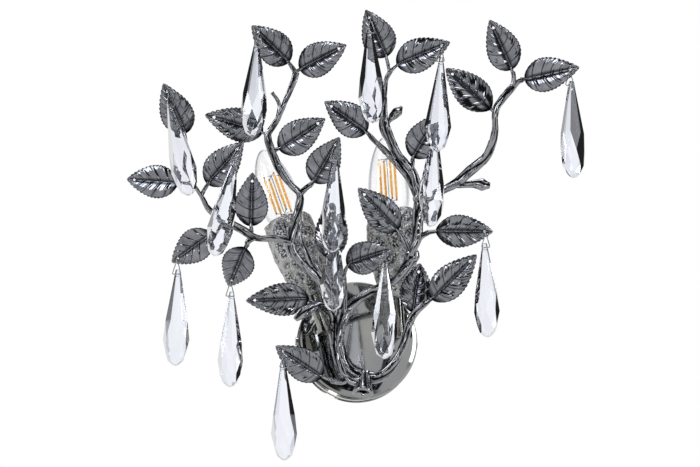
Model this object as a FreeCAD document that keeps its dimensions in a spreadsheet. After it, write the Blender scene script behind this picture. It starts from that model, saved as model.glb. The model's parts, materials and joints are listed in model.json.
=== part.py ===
import FreeCAD, Part
import Sketcher
import math
import os
from FreeCAD import Placement, Rotation, Vector

# Wall sconce: a round wall plate carries a small tree of cast branches with
# twenty-six leaves, fourteen crystal drops and two candle bulbs in cast cups.
# Origin: middle of the bracket's back face on the wall. +X right, +Z up, the
# sconce stands out of the wall towards -Y. Millimetres and degrees.

doc = FreeCAD.newDocument("wall_sconce")

driving = {
    # wall plate and bracket
    "plate_radius": 50.0, "plate_depth": 28.0, "plate_wall": 1.5, "plate_rounding": 4.0,
    "bracket_width": 20.0, "bracket_thickness": 2.0, "bracket_gap": 1.4, "ear_reach": 15.0,
    "slot_spacing": 60.0, "slot_width": 5.0, "slot_length": 12.0,
    "side_screw_radius": 2.0, "side_screw_head": 3.6, "side_screw_length": 10.0,
    "side_screw_head_height": 2.6,
    "screw_clearance": 0.3, "block_length": 32.0, "block_width": 14.0, "block_height": 12.0,
    # fixing of the trunk and the lamp pipes on the plate
    "boss_radius": 4.0, "stud_radius": 3.0, "stud_length": 8.0, "nut_radius": 4.8, "nut_height": 3.5,
    "earth_screw_radius": 3.0, "earth_screw_head": 2.2, "earth_screw_inset": 8.5,
    # lamps
    "cup_height": 74.0, "cup_radius": 19.5, "cup_wall": 1.5, "cup_foot": 6.0, "cup_floor": 3.0,
    "stem_radius": 5.5, "stem_length": 29.0, "stem_bore": 3.2, "cap_nut_radius": 7.2,
    "cap_nut_height": 3.5, "pipe_radius": 4.0, "pipe_bore": 2.6, "pipe_drop": 15.0,
    "pipe_thread_radius": 3.6,
    "holder_radius": 11.5, "holder_foot": 5.0, "holder_rise": 11.0, "holder_length": 44.0,
    "socket_depth": 26.0, "bulb_cap_radius": 6.85, "bulb_cap_length": 24.0, "fit_clearance": 0.35,
    "glass_radius": 17.2, "glass_length": 78.0, "glass_wall": 1.0, "glass_neck": 8.5,
    "bulb_cap_collar": 2.2, "bulb_seat_gap": 0.3,
    "filament_length": 34.0, "filament_radius": 0.8, "filament_ring": 6.8, "filament_rise": 14.0,
    "lead_radius": 1.3,
    # branches
    "trunk_radius": 4.6, "limb_radius": 4.0, "branch_radius": 3.3, "twig_radius": 2.3,
    "cut_end_radius": 8.0, "cut_end_bore": 4.2,
    # leaves
    "leaf_length": 48.0, "leaf_width": 28.0, "leaf_thickness": 1.2, "leaf_fold": 14.0,
    "midrib_radius": 1.1, "stalk_radius": 1.7, "leaf_hole": 1.6, "leaf_hole_inset": 7.0,
    # crystal drops
    "crystal_length": 79.0, "crystal_width": 21.0, "crystal_thickness": 12.0, "crystal_bore": 0.9,
    "crystal_bore_inset": 4.0, "hook_wire": 0.4, "hook_reach": 3.0, "hook_drop": 14.5,
    "hook_width": 7.2, "hook_bend": 1.0,
}
sheet = doc.addObject("Spreadsheet::Sheet", "Sizes")
for row, (word, value) in enumerate(driving.items(), start=1):
    sheet.set("A%d" % row, word)
    sheet.set("B%d" % row, str(value))
    sheet.setAlias("B%d" % row, word)
doc.recompute()


def size(word):
    return float(getattr(sheet, word))


up = Vector(0, 0, 1)
to_wall = Vector(0, 1, 0)
viewer = Vector(-0.13, -0.95, -0.27).normalize()

pieces = {}


def keep(label, item):
    """Registers the object of the document that becomes the node of this name."""
    item.Label = label
    pieces[label] = item
    return item


def feature(label, shape):
    item = doc.addObject("Part::Feature", label + "_shape")
    item.Shape = shape
    item.Placement = Placement()
    return keep(label, item)


def cylinder(name, radius, height, frame):
    """A cylinder along the Z axis of its frame, bound to the sheet; a height may be a number."""
    item = doc.addObject("Part::Cylinder", name)
    item.setExpression("Radius", radius)
    if isinstance(height, str):
        item.setExpression("Height", height)
    else:
        item.Height = height
    item.Placement = frame
    return item


def boolean(kind, name, base, tool):
    item = doc.addObject("Part::" + kind, name)
    item.Base = base
    item.Tool = tool
    return item


def fuse(name, parts):
    item = doc.addObject("Part::MultiFuse", name)
    item.Shapes = parts
    return item


def frame_at(point, direction):
    return Placement(Vector(point), Rotation(up, Vector(direction)))


# ------------------------------------------------------------ wall fixings

def section_sketch(body, corners):
    """A closed section in the body's XZ plane: each corner is bound to two expressions."""
    plane = [item for item in body.Origin.OriginFeatures if item.Role == "XZ_Plane"][0]
    sketch = body.newObject("Sketcher::SketchObject", body.Name + "_section")
    sketch.AttachmentSupport = [(plane, "")]
    sketch.MapMode = "FlatFace"
    count = len(corners)
    start = [Vector(math.cos(6.283 * k / count), math.sin(6.283 * k / count), 0) for k in range(count)]
    for k in range(count):
        sketch.addGeometry(Part.LineSegment(start[k], start[(k + 1) % count]), False)
    for k in range(count):
        sketch.addConstraint(Sketcher.Constraint("Coincident", k, 2, (k + 1) % count, 1))
    for k, (across, along) in enumerate(corners):
        for kind, place, text in (("DistanceX", start[k].x, across), ("DistanceY", start[k].y, along)):
            row = sketch.addConstraint(Sketcher.Constraint(kind, -1, 1, k, 1, place))
            sketch.setExpression("Constraints[%d]" % row, text)
    return sketch


def turned_body(name, corners, frame):
    """A part turned from a section: across is the radius, along is the height on the axis."""
    body = doc.addObject("PartDesign::Body", name)
    sketch = section_sketch(body, corners)
    doc.recompute()
    turned = body.newObject("PartDesign::Revolution", name + "_turned")
    turned.Profile = sketch
    turned.ReferenceAxis = (sketch, ["V_Axis"])
    turned.Angle = 360
    sketch.Visibility = False
    body.Placement = frame
    return body


# Frame whose Z runs out of the wall, so heights count from the wall.
off_wall = frame_at((0, 0, 0), (0, -1, 0))


def out_of_wall(x, z, height):
    """A frame at a point of the wall, moved out by a height and pointing out."""
    return frame_at((x, -height, z), (0, -1, 0))


def make_wall_plate(holes):
    """The dish: flat front, rounded edge, open to the wall, with round holes in its front."""
    inner = "Sizes.plate_radius - Sizes.plate_wall"
    floor = "Sizes.plate_depth - Sizes.plate_wall"
    dish = turned_body("plate_dish", [
        (inner, "0"), ("Sizes.plate_radius", "0"),
        ("Sizes.plate_radius", "Sizes.plate_depth - Sizes.plate_rounding"),
        ("Sizes.plate_radius - Sizes.plate_rounding * 0.3",
         "Sizes.plate_depth - Sizes.plate_rounding * 0.3"),
        ("Sizes.plate_radius - Sizes.plate_rounding", "Sizes.plate_depth"),
        ("0", "Sizes.plate_depth"), ("0", floor),
        ("Sizes.plate_radius - Sizes.plate_rounding", floor),
        (inner + " - Sizes.plate_rounding * 0.3", floor + " - Sizes.plate_rounding * 0.3 + 0.3"),
        (inner, "Sizes.plate_depth - Sizes.plate_rounding"),
    ], off_wall)
    cutters = []
    for name, x, z, radius in holes:
        cutters.append(cylinder("plate_hole_" + name, radius, "Sizes.plate_wall * 4",
                                out_of_wall(x, z, size("plate_depth") - 2 * size("plate_wall"))))
    for side in (-1, 1):
        spot = Vector(side * (size("plate_radius") - 4 * size("plate_wall")), -screw_height, 0)
        cutters.append(cylinder("rim_hole_%d" % (side + 2),
                                "Sizes.side_screw_radius + Sizes.screw_clearance",
                                "Sizes.plate_wall * 8", frame_at(spot, (side, 0, 0))))
    return keep("wall_plate", boolean("Cut", "plate_cut", dish, fuse("plate_cutters", cutters)))


screw_height = size("ear_reach") * 0.6
ear_face = math.sqrt((size("plate_radius") - size("plate_wall")) ** 2
                     - (size("bracket_width") / 2) ** 2) - size("bracket_gap") / 4


def box(name, lengths, corner):
    item = doc.addObject("Part::Box", name)
    for side, text in zip(("Length", "Width", "Height"), lengths):
        item.setExpression(side, text)
    item.Placement = Placement(corner, Rotation())
    return item


def make_wall_bracket():
    """A flat bar with two ears bent forward; slots for the wall screws."""
    width, thick = size("bracket_width"), size("bracket_thickness")
    bar = doc.addObject("Part::Box", "bracket_bar")
    bar.Length = 2 * ear_face
    bar.setExpression("Width", "Sizes.bracket_thickness")
    bar.setExpression("Height", "Sizes.bracket_width")
    bar.Placement = Placement(Vector(-ear_face, -thick, -width / 2), Rotation())
    ears = [box("bracket_ear_%d" % (k + 1),
                ("Sizes.bracket_thickness", "Sizes.ear_reach", "Sizes.bracket_width"),
                Vector(x, -size("ear_reach"), -width / 2))
            for k, x in enumerate((-ear_face, ear_face - thick))]
    cutters = []
    for side in (-1, 1):
        middle = side * size("slot_spacing") / 2
        half_run = (size("slot_length") - size("slot_width")) / 2
        for end in (-1, 1):
            cutters.append(cylinder("slot_end_%d_%d" % (side + 2, end + 2), "Sizes.slot_width / 2",
                                    "Sizes.bracket_thickness * 3",
                                    out_of_wall(middle + end * half_run, 0, -thick)))
        cutters.append(box("slot_run_%d" % (side + 2),
                           ("Sizes.slot_length - Sizes.slot_width", "Sizes.bracket_thickness * 3",
                            "Sizes.slot_width"),
                           Vector(middle - half_run, -2 * thick, -size("slot_width") / 2)))
        cutters.append(cylinder("ear_hole_%d" % (side + 2),
                                "Sizes.side_screw_radius + Sizes.screw_clearance / 2",
                                "Sizes.bracket_thickness * 3",
                                frame_at((side * (ear_face - 2 * thick), -screw_height, 0), (side, 0, 0))))
    solid = fuse("bracket_solid", [bar] + ears)
    return keep("wall_bracket", boolean("Cut", "bracket_cut", solid, fuse("bracket_cutters", cutters)))


def make_side_screws():
    """Two screws that hold the plate on the bracket's ears."""
    screws = []
    for side in (-1, 1):
        seat = Vector(side * size("plate_radius"), -screw_height, 0)
        shank_end = seat - Vector(side, 0, 0) * size("side_screw_length")
        shank = cylinder("screw_shank_%d" % (side + 2), "Sizes.side_screw_radius",
                         "Sizes.side_screw_length + 0.5", frame_at(shank_end, (side, 0, 0)))
        head = cylinder("screw_head_%d" % (side + 2), "Sizes.side_screw_head",
                        "Sizes.side_screw_head_height",
                        frame_at(seat + Vector(side * 0.1, 0, 0), (side, 0, 0)))
        screws.append(fuse("side_screw_%d" % (side + 2), [shank, head]))
    group = doc.addObject("Part::Compound", "side_screw_pair")
    group.Links = screws
    return keep("side_screws", group)


def make_terminal_block():
    """A three-way connector block with wire entries and clamp screw wells."""
    length, width, height = (size("block_" + word) for word in ("length", "width", "height"))
    back = size("bracket_thickness")
    block = box("block_body", ("Sizes.block_length", "Sizes.block_height", "Sizes.block_width"),
                Vector(-length / 2, -back - height, -width / 2))
    cutters = []
    for k in range(3):
        x = (k - 1) * length / 3.2
        cutters.append(cylinder("entry_%d" % (k + 1), "2", "Sizes.block_width * 1.5",
                                frame_at((x, -back - height * 0.4, -width * 0.75), up)))
        cutters.append(cylinder("screw_well_%d" % (k + 1), "2", "Sizes.block_height / 2",
                                out_of_wall(x, 0, back + height * 0.6)))
    return keep("terminal_block", boolean("Cut", "block_cut", block, fuse("block_cutters", cutters)))


def make_earth_screw():
    """The head of the bracket's earth screw, beside its right ear."""
    head = cylinder("earth_head", "Sizes.earth_screw_radius", "Sizes.earth_screw_head",
                    out_of_wall(ear_face - size("earth_screw_inset"), 0, size("bracket_thickness")))
    return keep("earth_screw", head)


# ------------------------------------------------------------ lamps

# Foot of each cup, which follows the plate's radius, and the way its lamp points.
lamp_places = {"left": (Vector(-0.88 * size("plate_radius"), -66, 0.52 * size("plate_radius")),
                        Vector(-22, 8, 67)),
               "right": (Vector(0.52 * size("plate_radius"), -62, 0.56 * size("plate_radius")),
                         Vector(-6, -8, 75))}


def smooth_line(points):
    curve = Part.BSplineCurve()
    curve.interpolate([Vector(point) for point in points])
    return curve


def turned_shape(outline):
    """A solid turned about Z from radius-height points that rise from the foot to the top."""
    points = [Vector(radius, 0, height) for radius, height in outline]
    foot, top = points[0], points[-1]
    edges = [smooth_line(points).toShape()]
    if top.x > 0:
        edges.append(Part.LineSegment(top, Vector(0, 0, top.z)).toShape())
    edges.append(Part.LineSegment(Vector(0, 0, top.z), Vector(0, 0, foot.z)).toShape())
    edges.append(Part.LineSegment(Vector(0, 0, foot.z), foot).toShape())
    face = Part.Face(Part.Wire(edges))
    return face.revolve(Vector(0, 0, 0), up, 360)


def cup_outline(radius, height, foot, floor):
    """Egg cup: swells from its foot to full width above the middle, then draws in a little."""
    rise = height - floor
    return [(foot, floor), (radius * 0.6, floor + rise * 0.09), (radius * 0.82, floor + rise * 0.24),
            (radius * 0.97, floor + rise * 0.43), (radius * 1.035, floor + rise * 0.64),
            (radius * 1.03, floor + rise * 0.83), (radius, height)]


def make_cup(side, frame):
    radius, height, wall = size("cup_radius"), size("cup_height"), size("cup_wall")
    outer = turned_shape(cup_outline(radius, height, size("cup_foot"), 0))
    inner = turned_shape(cup_outline(radius - wall, height + 0.01, size("cup_foot"), size("cup_floor")))
    bore = Part.makeCylinder(size("stem_bore"), 2 * size("cup_floor"), Vector(0, 0, -1))
    item = feature("cup_" + side, outer.cut(inner).cut(bore))
    item.Placement = frame
    return item


def make_stem(side, frame):
    """Turned post under the cup with a pipe to the wall plate, bored for the lead."""
    length = size("stem_length")
    elbow = frame.multVec(Vector(0, 0, -size("pipe_drop")))
    reach = -size("plate_depth") - elbow.y
    post = cylinder("post_" + side, "Sizes.stem_radius", "Sizes.stem_length",
                    frame * Placement(Vector(0, 0, -length), Rotation()))
    pipe = cylinder("pipe_" + side, "Sizes.pipe_radius", reach, frame_at(elbow, to_wall))
    tail = cylinder("pipe_thread_" + side, "Sizes.pipe_thread_radius", "Sizes.stud_length",
                    frame_at(Vector(elbow.x, -size("plate_depth"), elbow.z), to_wall))
    body = fuse("stem_solid_" + side, [post, pipe, tail])
    bore_up = cylinder("stem_bore_" + side, "Sizes.stem_bore", "Sizes.pipe_drop + 4",
                       frame * Placement(Vector(0, 0, -size("pipe_drop") - 3), Rotation()))
    bore_back = cylinder("pipe_bore_" + side, "Sizes.pipe_bore", reach + size("stud_length") + 1,
                         frame_at(elbow, to_wall))
    bores = fuse("stem_bores_" + side, [bore_up, bore_back])
    keep("stem_" + side, boolean("Cut", "stem_cut_" + side, body, bores))
    nut = cylinder("cap_nut_shape_" + side, "Sizes.cap_nut_radius", "Sizes.cap_nut_height",
                   frame * Placement(Vector(0, 0, -length - size("cap_nut_height")), Rotation()))
    return elbow, nut


def make_holder(side, frame):
    floor, rise = size("cup_floor"), size("holder_rise")
    foot = cylinder("holder_foot_" + side, "Sizes.holder_foot", "Sizes.holder_rise + 1",
                    frame * Placement(Vector(0, 0, floor), Rotation()))
    body = cylinder("holder_body_" + side, "Sizes.holder_radius", "Sizes.holder_length",
                    frame * Placement(Vector(0, 0, floor + rise), Rotation()))
    top = floor + rise + size("holder_length")
    socket = cylinder("socket_" + side, "Sizes.bulb_cap_radius + Sizes.fit_clearance",
                      "Sizes.socket_depth + 1",
                      frame * Placement(Vector(0, 0, top - size("socket_depth")), Rotation()))
    entry = cylinder("lead_entry_" + side, "Sizes.lead_radius + 0.6", "Sizes.holder_rise + 2",
                     frame * Placement(Vector(0, 0, floor - 1), Rotation()))
    cutters = fuse("holder_cutters_" + side, [socket, entry])
    solid = fuse("holder_solid_" + side, [foot, body])
    keep("lampholder_" + side, boolean("Cut", "holder_cut_" + side, solid, cutters))
    return top


def bulb_outline(wall):
    """Candle shape: a short swell from the neck, then a long taper to a soft round tip."""
    radius, neck = size("glass_radius") - wall, size("glass_neck") - wall
    foot, top = wall, size("glass_length") - wall
    widest = foot + (top - foot) * 0.36
    outline = [(neck, foot), (neck + (radius - neck) * 0.28, foot + (widest - foot) * 0.17),
               (neck + (radius - neck) * 0.8, foot + (widest - foot) * 0.55)]
    for angle in (0, 20, 38, 53, 66, 77):
        rise = math.sin(math.radians(angle))
        outline.append((radius * (1 - rise ** 2) ** 0.6, widest + (top - widest) * rise))
    return outline + [(0, top)]


def make_bulb(side, frame, holder_top):
    """Clear candle lamp: glass, screw cap and a four-rod filament mount."""
    collar = size("bulb_cap_collar")
    seat = frame * Placement(Vector(0, 0, holder_top + size("bulb_seat_gap") + collar), Rotation())
    glass = turned_shape(bulb_outline(0)).cut(turned_shape(bulb_outline(size("glass_wall"))))
    feature("bulb_glass_" + side, glass).Placement = seat
    thread = cylinder("cap_thread_" + side, "Sizes.bulb_cap_radius", "Sizes.bulb_cap_length",
                      seat * Placement(Vector(0, 0, -size("bulb_cap_length")), Rotation()))
    ring = cylinder("cap_collar_" + side, "Sizes.glass_neck", "Sizes.bulb_cap_collar",
                    seat * Placement(Vector(0, 0, -collar), Rotation()))
    keep("bulb_cap_" + side, fuse("bulb_cap_solid_" + side, [thread, ring]))
    make_filaments(side, seat)


def make_filaments(side, seat):
    """A post on the glass floor; four rods stand round it, tied by spokes at both ends."""
    floor, rod = size("glass_wall"), size("filament_radius")
    low, long_rod, ring_radius = (size("filament_" + word) for word in ("rise", "length", "ring"))
    parts = [Part.makeCylinder(2.4, low - 2, Vector(0, 0, floor)),
             Part.makeCylinder(0.5, long_rod + 4, Vector(0, 0, floor + low - 3))]
    for k in range(4):
        angle = math.radians(22 + 90 * k)
        out = Vector(math.cos(angle), math.sin(angle), 0)
        foot = out * ring_radius + Vector(0, 0, floor + low)
        parts.append(Part.makeCylinder(rod, long_rod, foot))
        for height in (floor + low + 0.4, floor + low + long_rod - 0.4):
            parts.append(Part.makeCylinder(0.35, ring_radius, Vector(0, 0, height), out))
    feature("filament_mount_" + side, parts[0].fuse(parts[1:])).Placement = seat


def bent_wire(points, bend, radius):
    """Round wire along straight runs joined by tangent arcs."""
    points = [Vector(point) for point in points]
    edges, last = [], points[0]
    for before, corner, after in zip(points, points[1:], points[2:]):
        back, on = (before - corner).normalize(), (after - corner).normalize()
        turn = math.pi - back.getAngle(on)
        cut = bend * math.tan(turn / 2)
        start, end = corner + back * cut, corner + on * cut
        inward = (back + on).normalize()
        middle = corner + inward * (bend / math.cos(turn / 2) - bend)
        edges += [Part.LineSegment(last, start).toShape(), Part.Arc(start, middle, end).toShape()]
        last = end
    edges.append(Part.LineSegment(last, points[-1]).toShape())
    ring = Part.makeCircle(radius, points[0], points[1] - points[0])
    return Part.Wire(edges).makePipeShell([Part.Wire(ring)], True, False)


def make_lead(side, frame, elbow):
    """Insulated lead from the connector block through pipe and post to the lampholder."""
    plate_back = -size("plate_depth") + size("plate_wall")
    direction = 1 if side == "right" else -1
    block_out = -size("bracket_thickness") - size("block_height") * 0.4
    start = Vector(direction * size("block_length") / 3.2, block_out, size("block_width") / 2 + 0.1)
    rise = Vector(start.x, block_out, start.z + 7)
    mouth = Vector(elbow.x, plate_back + size("stud_length") + 2, elbow.z)
    end = frame.multVec(Vector(0, 0, size("cup_floor") + size("holder_rise") - 0.2))
    points = [start, rise, mouth, elbow, end]
    feature("lead_" + side, bent_wire(points, 4.0, size("lead_radius")))


# ------------------------------------------------------------ branches

def limb(points, radii, step=6.0):
    """A round tapering limb along a smooth line; radii are spread evenly over its length."""
    curve = smooth_line(points)
    count = max(4, int(curve.length() / step) + 1)
    places = curve.discretize(Number=count)
    rings, side = [], None
    for k, place in enumerate(places):
        tangent = curve.tangent(curve.parameter(place))[0]
        if side is None:
            side = tangent.cross(Vector(0.3, 0.2, 1)).normalize()
        side = (side - tangent * side.dot(tangent)).normalize()
        share = k / (count - 1) * (len(radii) - 1)
        low = min(int(share), len(radii) - 2)
        radius = radii[low] + (radii[low + 1] - radii[low]) * (share - low)
        ring = Part.makeCircle(radius)
        ring.Placement = Placement(place, Rotation(side, Vector(), tangent, "ZXY"))
        rings.append(Part.Wire(ring))
    return Part.makeLoft(rings, True, True)


trunk, heavy, branch, twig = (size(word + "_radius") for word in ("trunk", "limb", "branch", "twig"))
cut_end = size("cut_end_radius")

# The foot of the trunk, where the strands part, and the boss behind it.
fork = Vector(0, -62, -0.78 * size("plate_radius"))


def knuckle(point, direction, radius):
    """A swelling where two castings meet."""
    middle, half = Vector(point), Vector(direction).normalize() * radius
    return limb([middle - half, middle, middle + half], [radius * 0.7, radius, radius, radius * 0.7], 2)


def make_trunk():
    """Flared foot, left strand, right lower arm, the loop and the low twigs, cast as one."""
    parts = [
        limb([(-3, -67, -54), (-2, -64, -47), fork, (1, -62, -36)],
             [cut_end, trunk * 1.15, trunk * 1.2, trunk], 3),
        limb([fork, (-9, -62, -43), (-17, -61, -37), (-23, -60, -21), (-26, -60, -4), (-27, -62, 8),
              (-29, -66, 15)], [trunk, trunk, heavy, heavy, heavy]),
        limb([fork, (8, -64, -40), (16, -66, -36), (23, -70, -28), (28, -74, -18), (31, -78, -9),
              (33, -82, 1), (37, -86, 10), (44, -92, 17)], [trunk, heavy, branch, twig * 1.1]),
        limb([fork, (-8, -62, -36), (-15, -62, -30), (-20, -62, -17), (-21, -64, -7), (-20, -67, 4),
              (-16, -71, 15), (-9, -75, 22), (0, -79, 28), (8, -83, 31), (21, -89, 37), (28, -95, 46),
              (33, -101, 55)], [trunk, heavy, heavy, branch, heavy, heavy]),
        limb([(-13, -62, -40), (-20, -62, -44), (-29, -62, -43)], [twig * 1.3, twig]),
        limb([(-18, -69, 10), (-19, -76, 25), (-21, -83, 40)], [twig, twig * 0.8]),
        limb([(-28, -65, 13), (-31, -76, 24), (-33, -86, 36), (-34, -92, 44)], [twig * 1.1, twig * 0.8]),
        limb([(-27, -64, 13), (-33, -74, 17), (-40, -80, 17), (-52, -84, 10), (-61, -86, 2)],
             [twig * 1.2, twig, twig, twig * 1.5, twig * 1.9, twig * 1.2], 4),
    ]
    parts += [knuckle((-28, -66, 14), (-1, -4, 5), trunk * 1.05),
              knuckle((33, -101, 55), (4, -6, 9), trunk * 1.15)]
    solid = parts[0].fuse(parts[1:])
    boss_length = -fork.y - size("plate_depth")
    boss = Part.makeCylinder(size("boss_radius"), boss_length, fork, to_wall)
    stud = Part.makeCylinder(size("stud_radius"), boss_length + size("stud_length"), fork, to_wall)
    bore = Part.makeCylinder(size("cut_end_bore"), 12, Vector(-3.3, -67.8, -56), Vector(0.15, 0.4, 1))
    return solid.fuse([boss, stud]).cut(bore)


def make_left_branch(trunk_shape):
    parts = [
        limb([(-29, -66, 14), (-35, -78, 25), (-42, -88, 36), (-56, -95, 46), (-65, -100, 55),
              (-67, -104, 64), (-65, -109, 76), (-62, -114, 88), (-62, -118, 98), (-70, -122, 105),
              (-78, -126, 114), (-83, -130, 122), (-87, -134, 130), (-90, -138, 140), (-86, -141, 147),
              (-81, -143, 156), (-76, -147, 169), (-71, -149, 182), (-69, -151, 190)],
             [heavy, heavy, branch, branch, twig * 1.1, twig]),
        limb([(-66, -103, 62), (-80, -105, 64), (-91, -107, 63), (-99, -109, 64), (-106, -111, 68),
              (-117, -113, 73), (-133, -115, 82), (-140, -115, 93), (-146, -114, 102), (-152, -113, 105)],
             [branch, branch, branch * 0.9, twig, twig * 0.8]),
        limb([(-147, -114, 102), (-151, -111, 114), (-153, -106, 128), (-154, -102, 143)],
             [twig, twig * 0.8]),
        limb([(-60, -115, 96), (-62, -111, 89), (-61, -109, 78), (-60, -105, 65), (-55, -101, 56),
              (-50, -96, 48), (-42, -89, 40), (-37, -80, 29)], [twig, twig * 1.1, twig * 1.2, twig]),
        limb([(-96, -108, 64), (-101, -107, 61), (-103, -106, 58)], [twig, twig * 0.8], 3),
        limb([(-122, -113, 76), (-126, -114, 71), (-130, -114, 66)], [twig, twig * 0.8], 3),
        limb([(-83, -143, 152), (-82, -146, 164), (-88, -148, 173)], [twig * 0.8, twig * 0.7, twig], 4),
        limb([(-62, -117, 98), (-57, -119, 103), (-53, -120, 106)], [twig, twig * 0.8], 3),
    ]
    return parts[0].fuse(parts[1:]).cut(trunk_shape)


def make_right_branch(trunk_shape):
    parts = [
        limb([(33, -101, 55), (34, -104, 61), (36, -107, 68), (36, -111, 80), (36, -115, 89),
              (37, -119, 99)], [heavy, trunk, trunk, heavy]),
        limb([(37, -118, 97), (28, -124, 113), (18, -127, 124), (9, -129, 132), (0, -130, 140),
              (-6, -130, 146)], [heavy, branch, branch, twig]),
        limb([(37, -119, 98), (30, -126, 117), (23, -130, 125), (15, -134, 133), (8, -140, 144),
              (3, -145, 155), (2, -149, 166), (2, -152, 175), (3, -156, 185), (6, -159, 192)],
             [heavy, branch, branch, branch * 0.9, twig]),
        limb([(15, -130, 128), (9, -135, 138), (2, -140, 148), (1, -145, 158)],
             [twig * 0.9, twig * 0.8]),
        limb([(5, -142, 150), (9, -143, 157), (13, -143, 162), (18, -143, 168)],
             [twig * 0.6, twig * 0.8, twig * 1.8, twig * 1.9, twig * 0.7], 3),
        limb([(33, -102, 57), (29, -103, 61), (25, -106, 67), (22, -108, 71)], [twig, twig * 0.8], 4),
        limb([(36, -107, 66), (40, -108, 70), (46, -110, 73)], [twig * 1.1, twig * 0.8], 4),
        limb([(27, -127, 117), (29, -129, 123), (29, -130, 127)], [twig, twig * 0.8], 3),
        knuckle((37, -119, 98), (2, -5, 10), trunk * 1.15),
    ]
    return parts[0].fuse(parts[1:]).cut(trunk_shape)


def make_outer_branch(right_shape):
    parts = [
        limb([(38, -119, 97), (52, -130, 102), (63, -138, 107), (73, -148, 115), (83, -158, 123),
              (87, -166, 133), (88, -172, 142), (87, -177, 151), (88, -180, 158), (92, -184, 164),
              (98, -187, 171), (102, -189, 176)],
             [heavy, heavy, heavy * 0.95, branch, branch, branch * 0.9, twig * 1.1]),
        limb([(61, -136, 105), (68, -139, 105), (78, -140, 106), (90, -141, 105)],
             [branch * 0.8, twig * 1.1, twig * 1.2, twig * 1.5, twig * 2.1, twig * 1.3], 4),
        limb([(100, -188, 174), (100, -190, 180), (99, -192, 184)], [twig, twig * 0.8], 3),
        limb([(100, -188, 173), (104, -189, 177), (107, -190, 178)], [twig, twig * 0.8], 3),
    ]
    return parts[0].fuse(parts[1:]).cut(right_shape)


# ------------------------------------------------------------ leaves

# Each leaf: point on its twig, foot and tip of the blade, roll about its own line, and
# how its length compares with the usual leaf. The tip gives the direction only.
leaf_places = {
    "A1": ((-70, -150, 191), (-75, -150, 199), (-107, -181, 215), 0, 1.0),
    "A2": ((-70, -150, 190), (-66, -151, 193), (-33, -185, 202), 0, 1.0),
    "M2": ((-87, -134, 129), (-80, -134, 130), (-47, -165, 147), 0, 1.0),
    "L7": ((-89, -137, 139), (-94, -138, 143), (-140, -146, 152), 0, 1.0),
    "L1": ((-154, -103, 142), (-154, -100, 152), (-174, -132, 182), 0, 1.0),
    "L2": ((-151, -113, 104), (-159, -112, 105), (-200, -88, 114), 0, 1.0),
    "L3": ((-141, -115, 94), (-136, -114, 105), (-110, -145, 131), 0, 1.0),
    "L4": ((-99, -109, 64), (-100, -108, 73), (-102, -142, 107), 0, 1.0),
    "L8": ((-129, -114, 67), (-131, -114, 64), (-162, -85, 46), 0, 0.94),
    "L9": ((-102, -106, 58), (-104, -105, 56), (-114, -69, 32), 0, 0.92),
    "C2": ((-54, -120, 105), (-51, -121, 108), (-35, -158, 134), 0, 1.0),
    "C3": ((-34, -91, 43), (-34, -95, 51), (-33, -110, 100), 0, 1.07),
    "S2": ((-21, -82, 39), (-19, -86, 50), (14, -117, 56), 0, 0.95),
    "L5": ((-44, -81, 15), (-50, -85, 20), (-101, -83, 17), 0, 1.06),
    "L6": ((-27, -62, -43), (-36, -62, -40), (-76, -79, -19), 0, 1.0),
    "T1": ((6, -158, 190), (3, -160, 204), (-19, -195, 228), 0, 1.0),
    "U1": ((6, -159, 191), (11, -162, 197), (49, -190, 207), 0, 1.0),
    "M1": ((-5, -130, 145), (-9, -130, 150), (-46, -156, 164), 0, 1.0),
    "C1": ((29, -130, 126), (29, -130, 130), (44, -168, 155), 0, 1.0),
    "R1": ((99, -191, 183), (98, -192, 186), (74, -223, 213), 0, 1.0),
    "R2": ((106, -190, 178), (109, -190, 179), (144, -223, 178), 0, 1.0),
    "R3": ((88, -179, 155), (83, -179, 156), (50, -170, 192), 0, 1.04),
    "B1": ((44, -110, 72), (51, -110, 74), (99, -108, 76), 0, 1.0),
    "B2": ((43, -92, 16), (50, -95, 20), (82, -122, 52), 0, 1.09),
    "B3": ((34, -83, 4), (36, -85, 11), (41, -90, 50), 0, 0.85),
    "S1": ((23, -107, 70), (20, -108, 74), (-15, -123, 104), 0, 1.0),
}
leaf_groups = {
    "leaves_top_left": ("A1", "A2", "M2", "L7"),
    "leaves_far_left": ("L1", "L2", "L3"),
    "leaves_low_left": ("L4", "L8", "L9"),
    "leaves_centre": ("C2", "C3", "S2", "L5", "L6"),
    "leaves_top_middle": ("T1", "U1", "M1", "C1"),
    "leaves_far_right": ("R1", "R2", "R3"),
    "leaves_low_right": ("B1", "B2", "B3", "S1"),
}


def leaf_frame(name):
    """Axes of a blade at its foot: along, across and normal, the normal facing the viewer."""
    root, foot, tip, roll, share = leaf_places[name]
    along = (Vector(tip) - Vector(foot)).normalize()
    normal = (viewer - along * viewer.dot(along)).normalize()
    normal = Rotation(along, roll).multVec(normal)
    return Placement(Vector(foot), Rotation(along, Vector(), normal, "XZY")), along, normal


def half_width(share):
    """Half the blade's width at a share of its length: round foot, drawn-out tip."""
    return math.sin(math.pi * share ** 0.72) ** 0.85 * size("leaf_width") / 2


def half_blade(length, side):
    """One half of the blade as a toothed slab, tilted up from the midrib."""
    teeth = 10
    outline = [Vector(0, 0, 0)]
    for k in range(teeth):
        notch, point = (k + 0.25) / teeth, (k + 0.95) / teeth
        outline.append(Vector(notch * length, side * half_width(notch) * 0.97, 0))
        if k < teeth - 1:
            outline.append(Vector(point * length, side * (half_width(point) + 0.9), 0))
    outline += [Vector(length, 0, 0), Vector(0, 0, 0)]
    thick = size("leaf_thickness")
    slab = Part.Face(Part.makePolygon(outline)).extrude(Vector(0, 0, thick))
    slab.translate(Vector(0, 0, -thick / 2))
    slab.rotate(Vector(0, 0, 0), Vector(1, 0, 0), side * size("leaf_fold"))
    return slab


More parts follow.
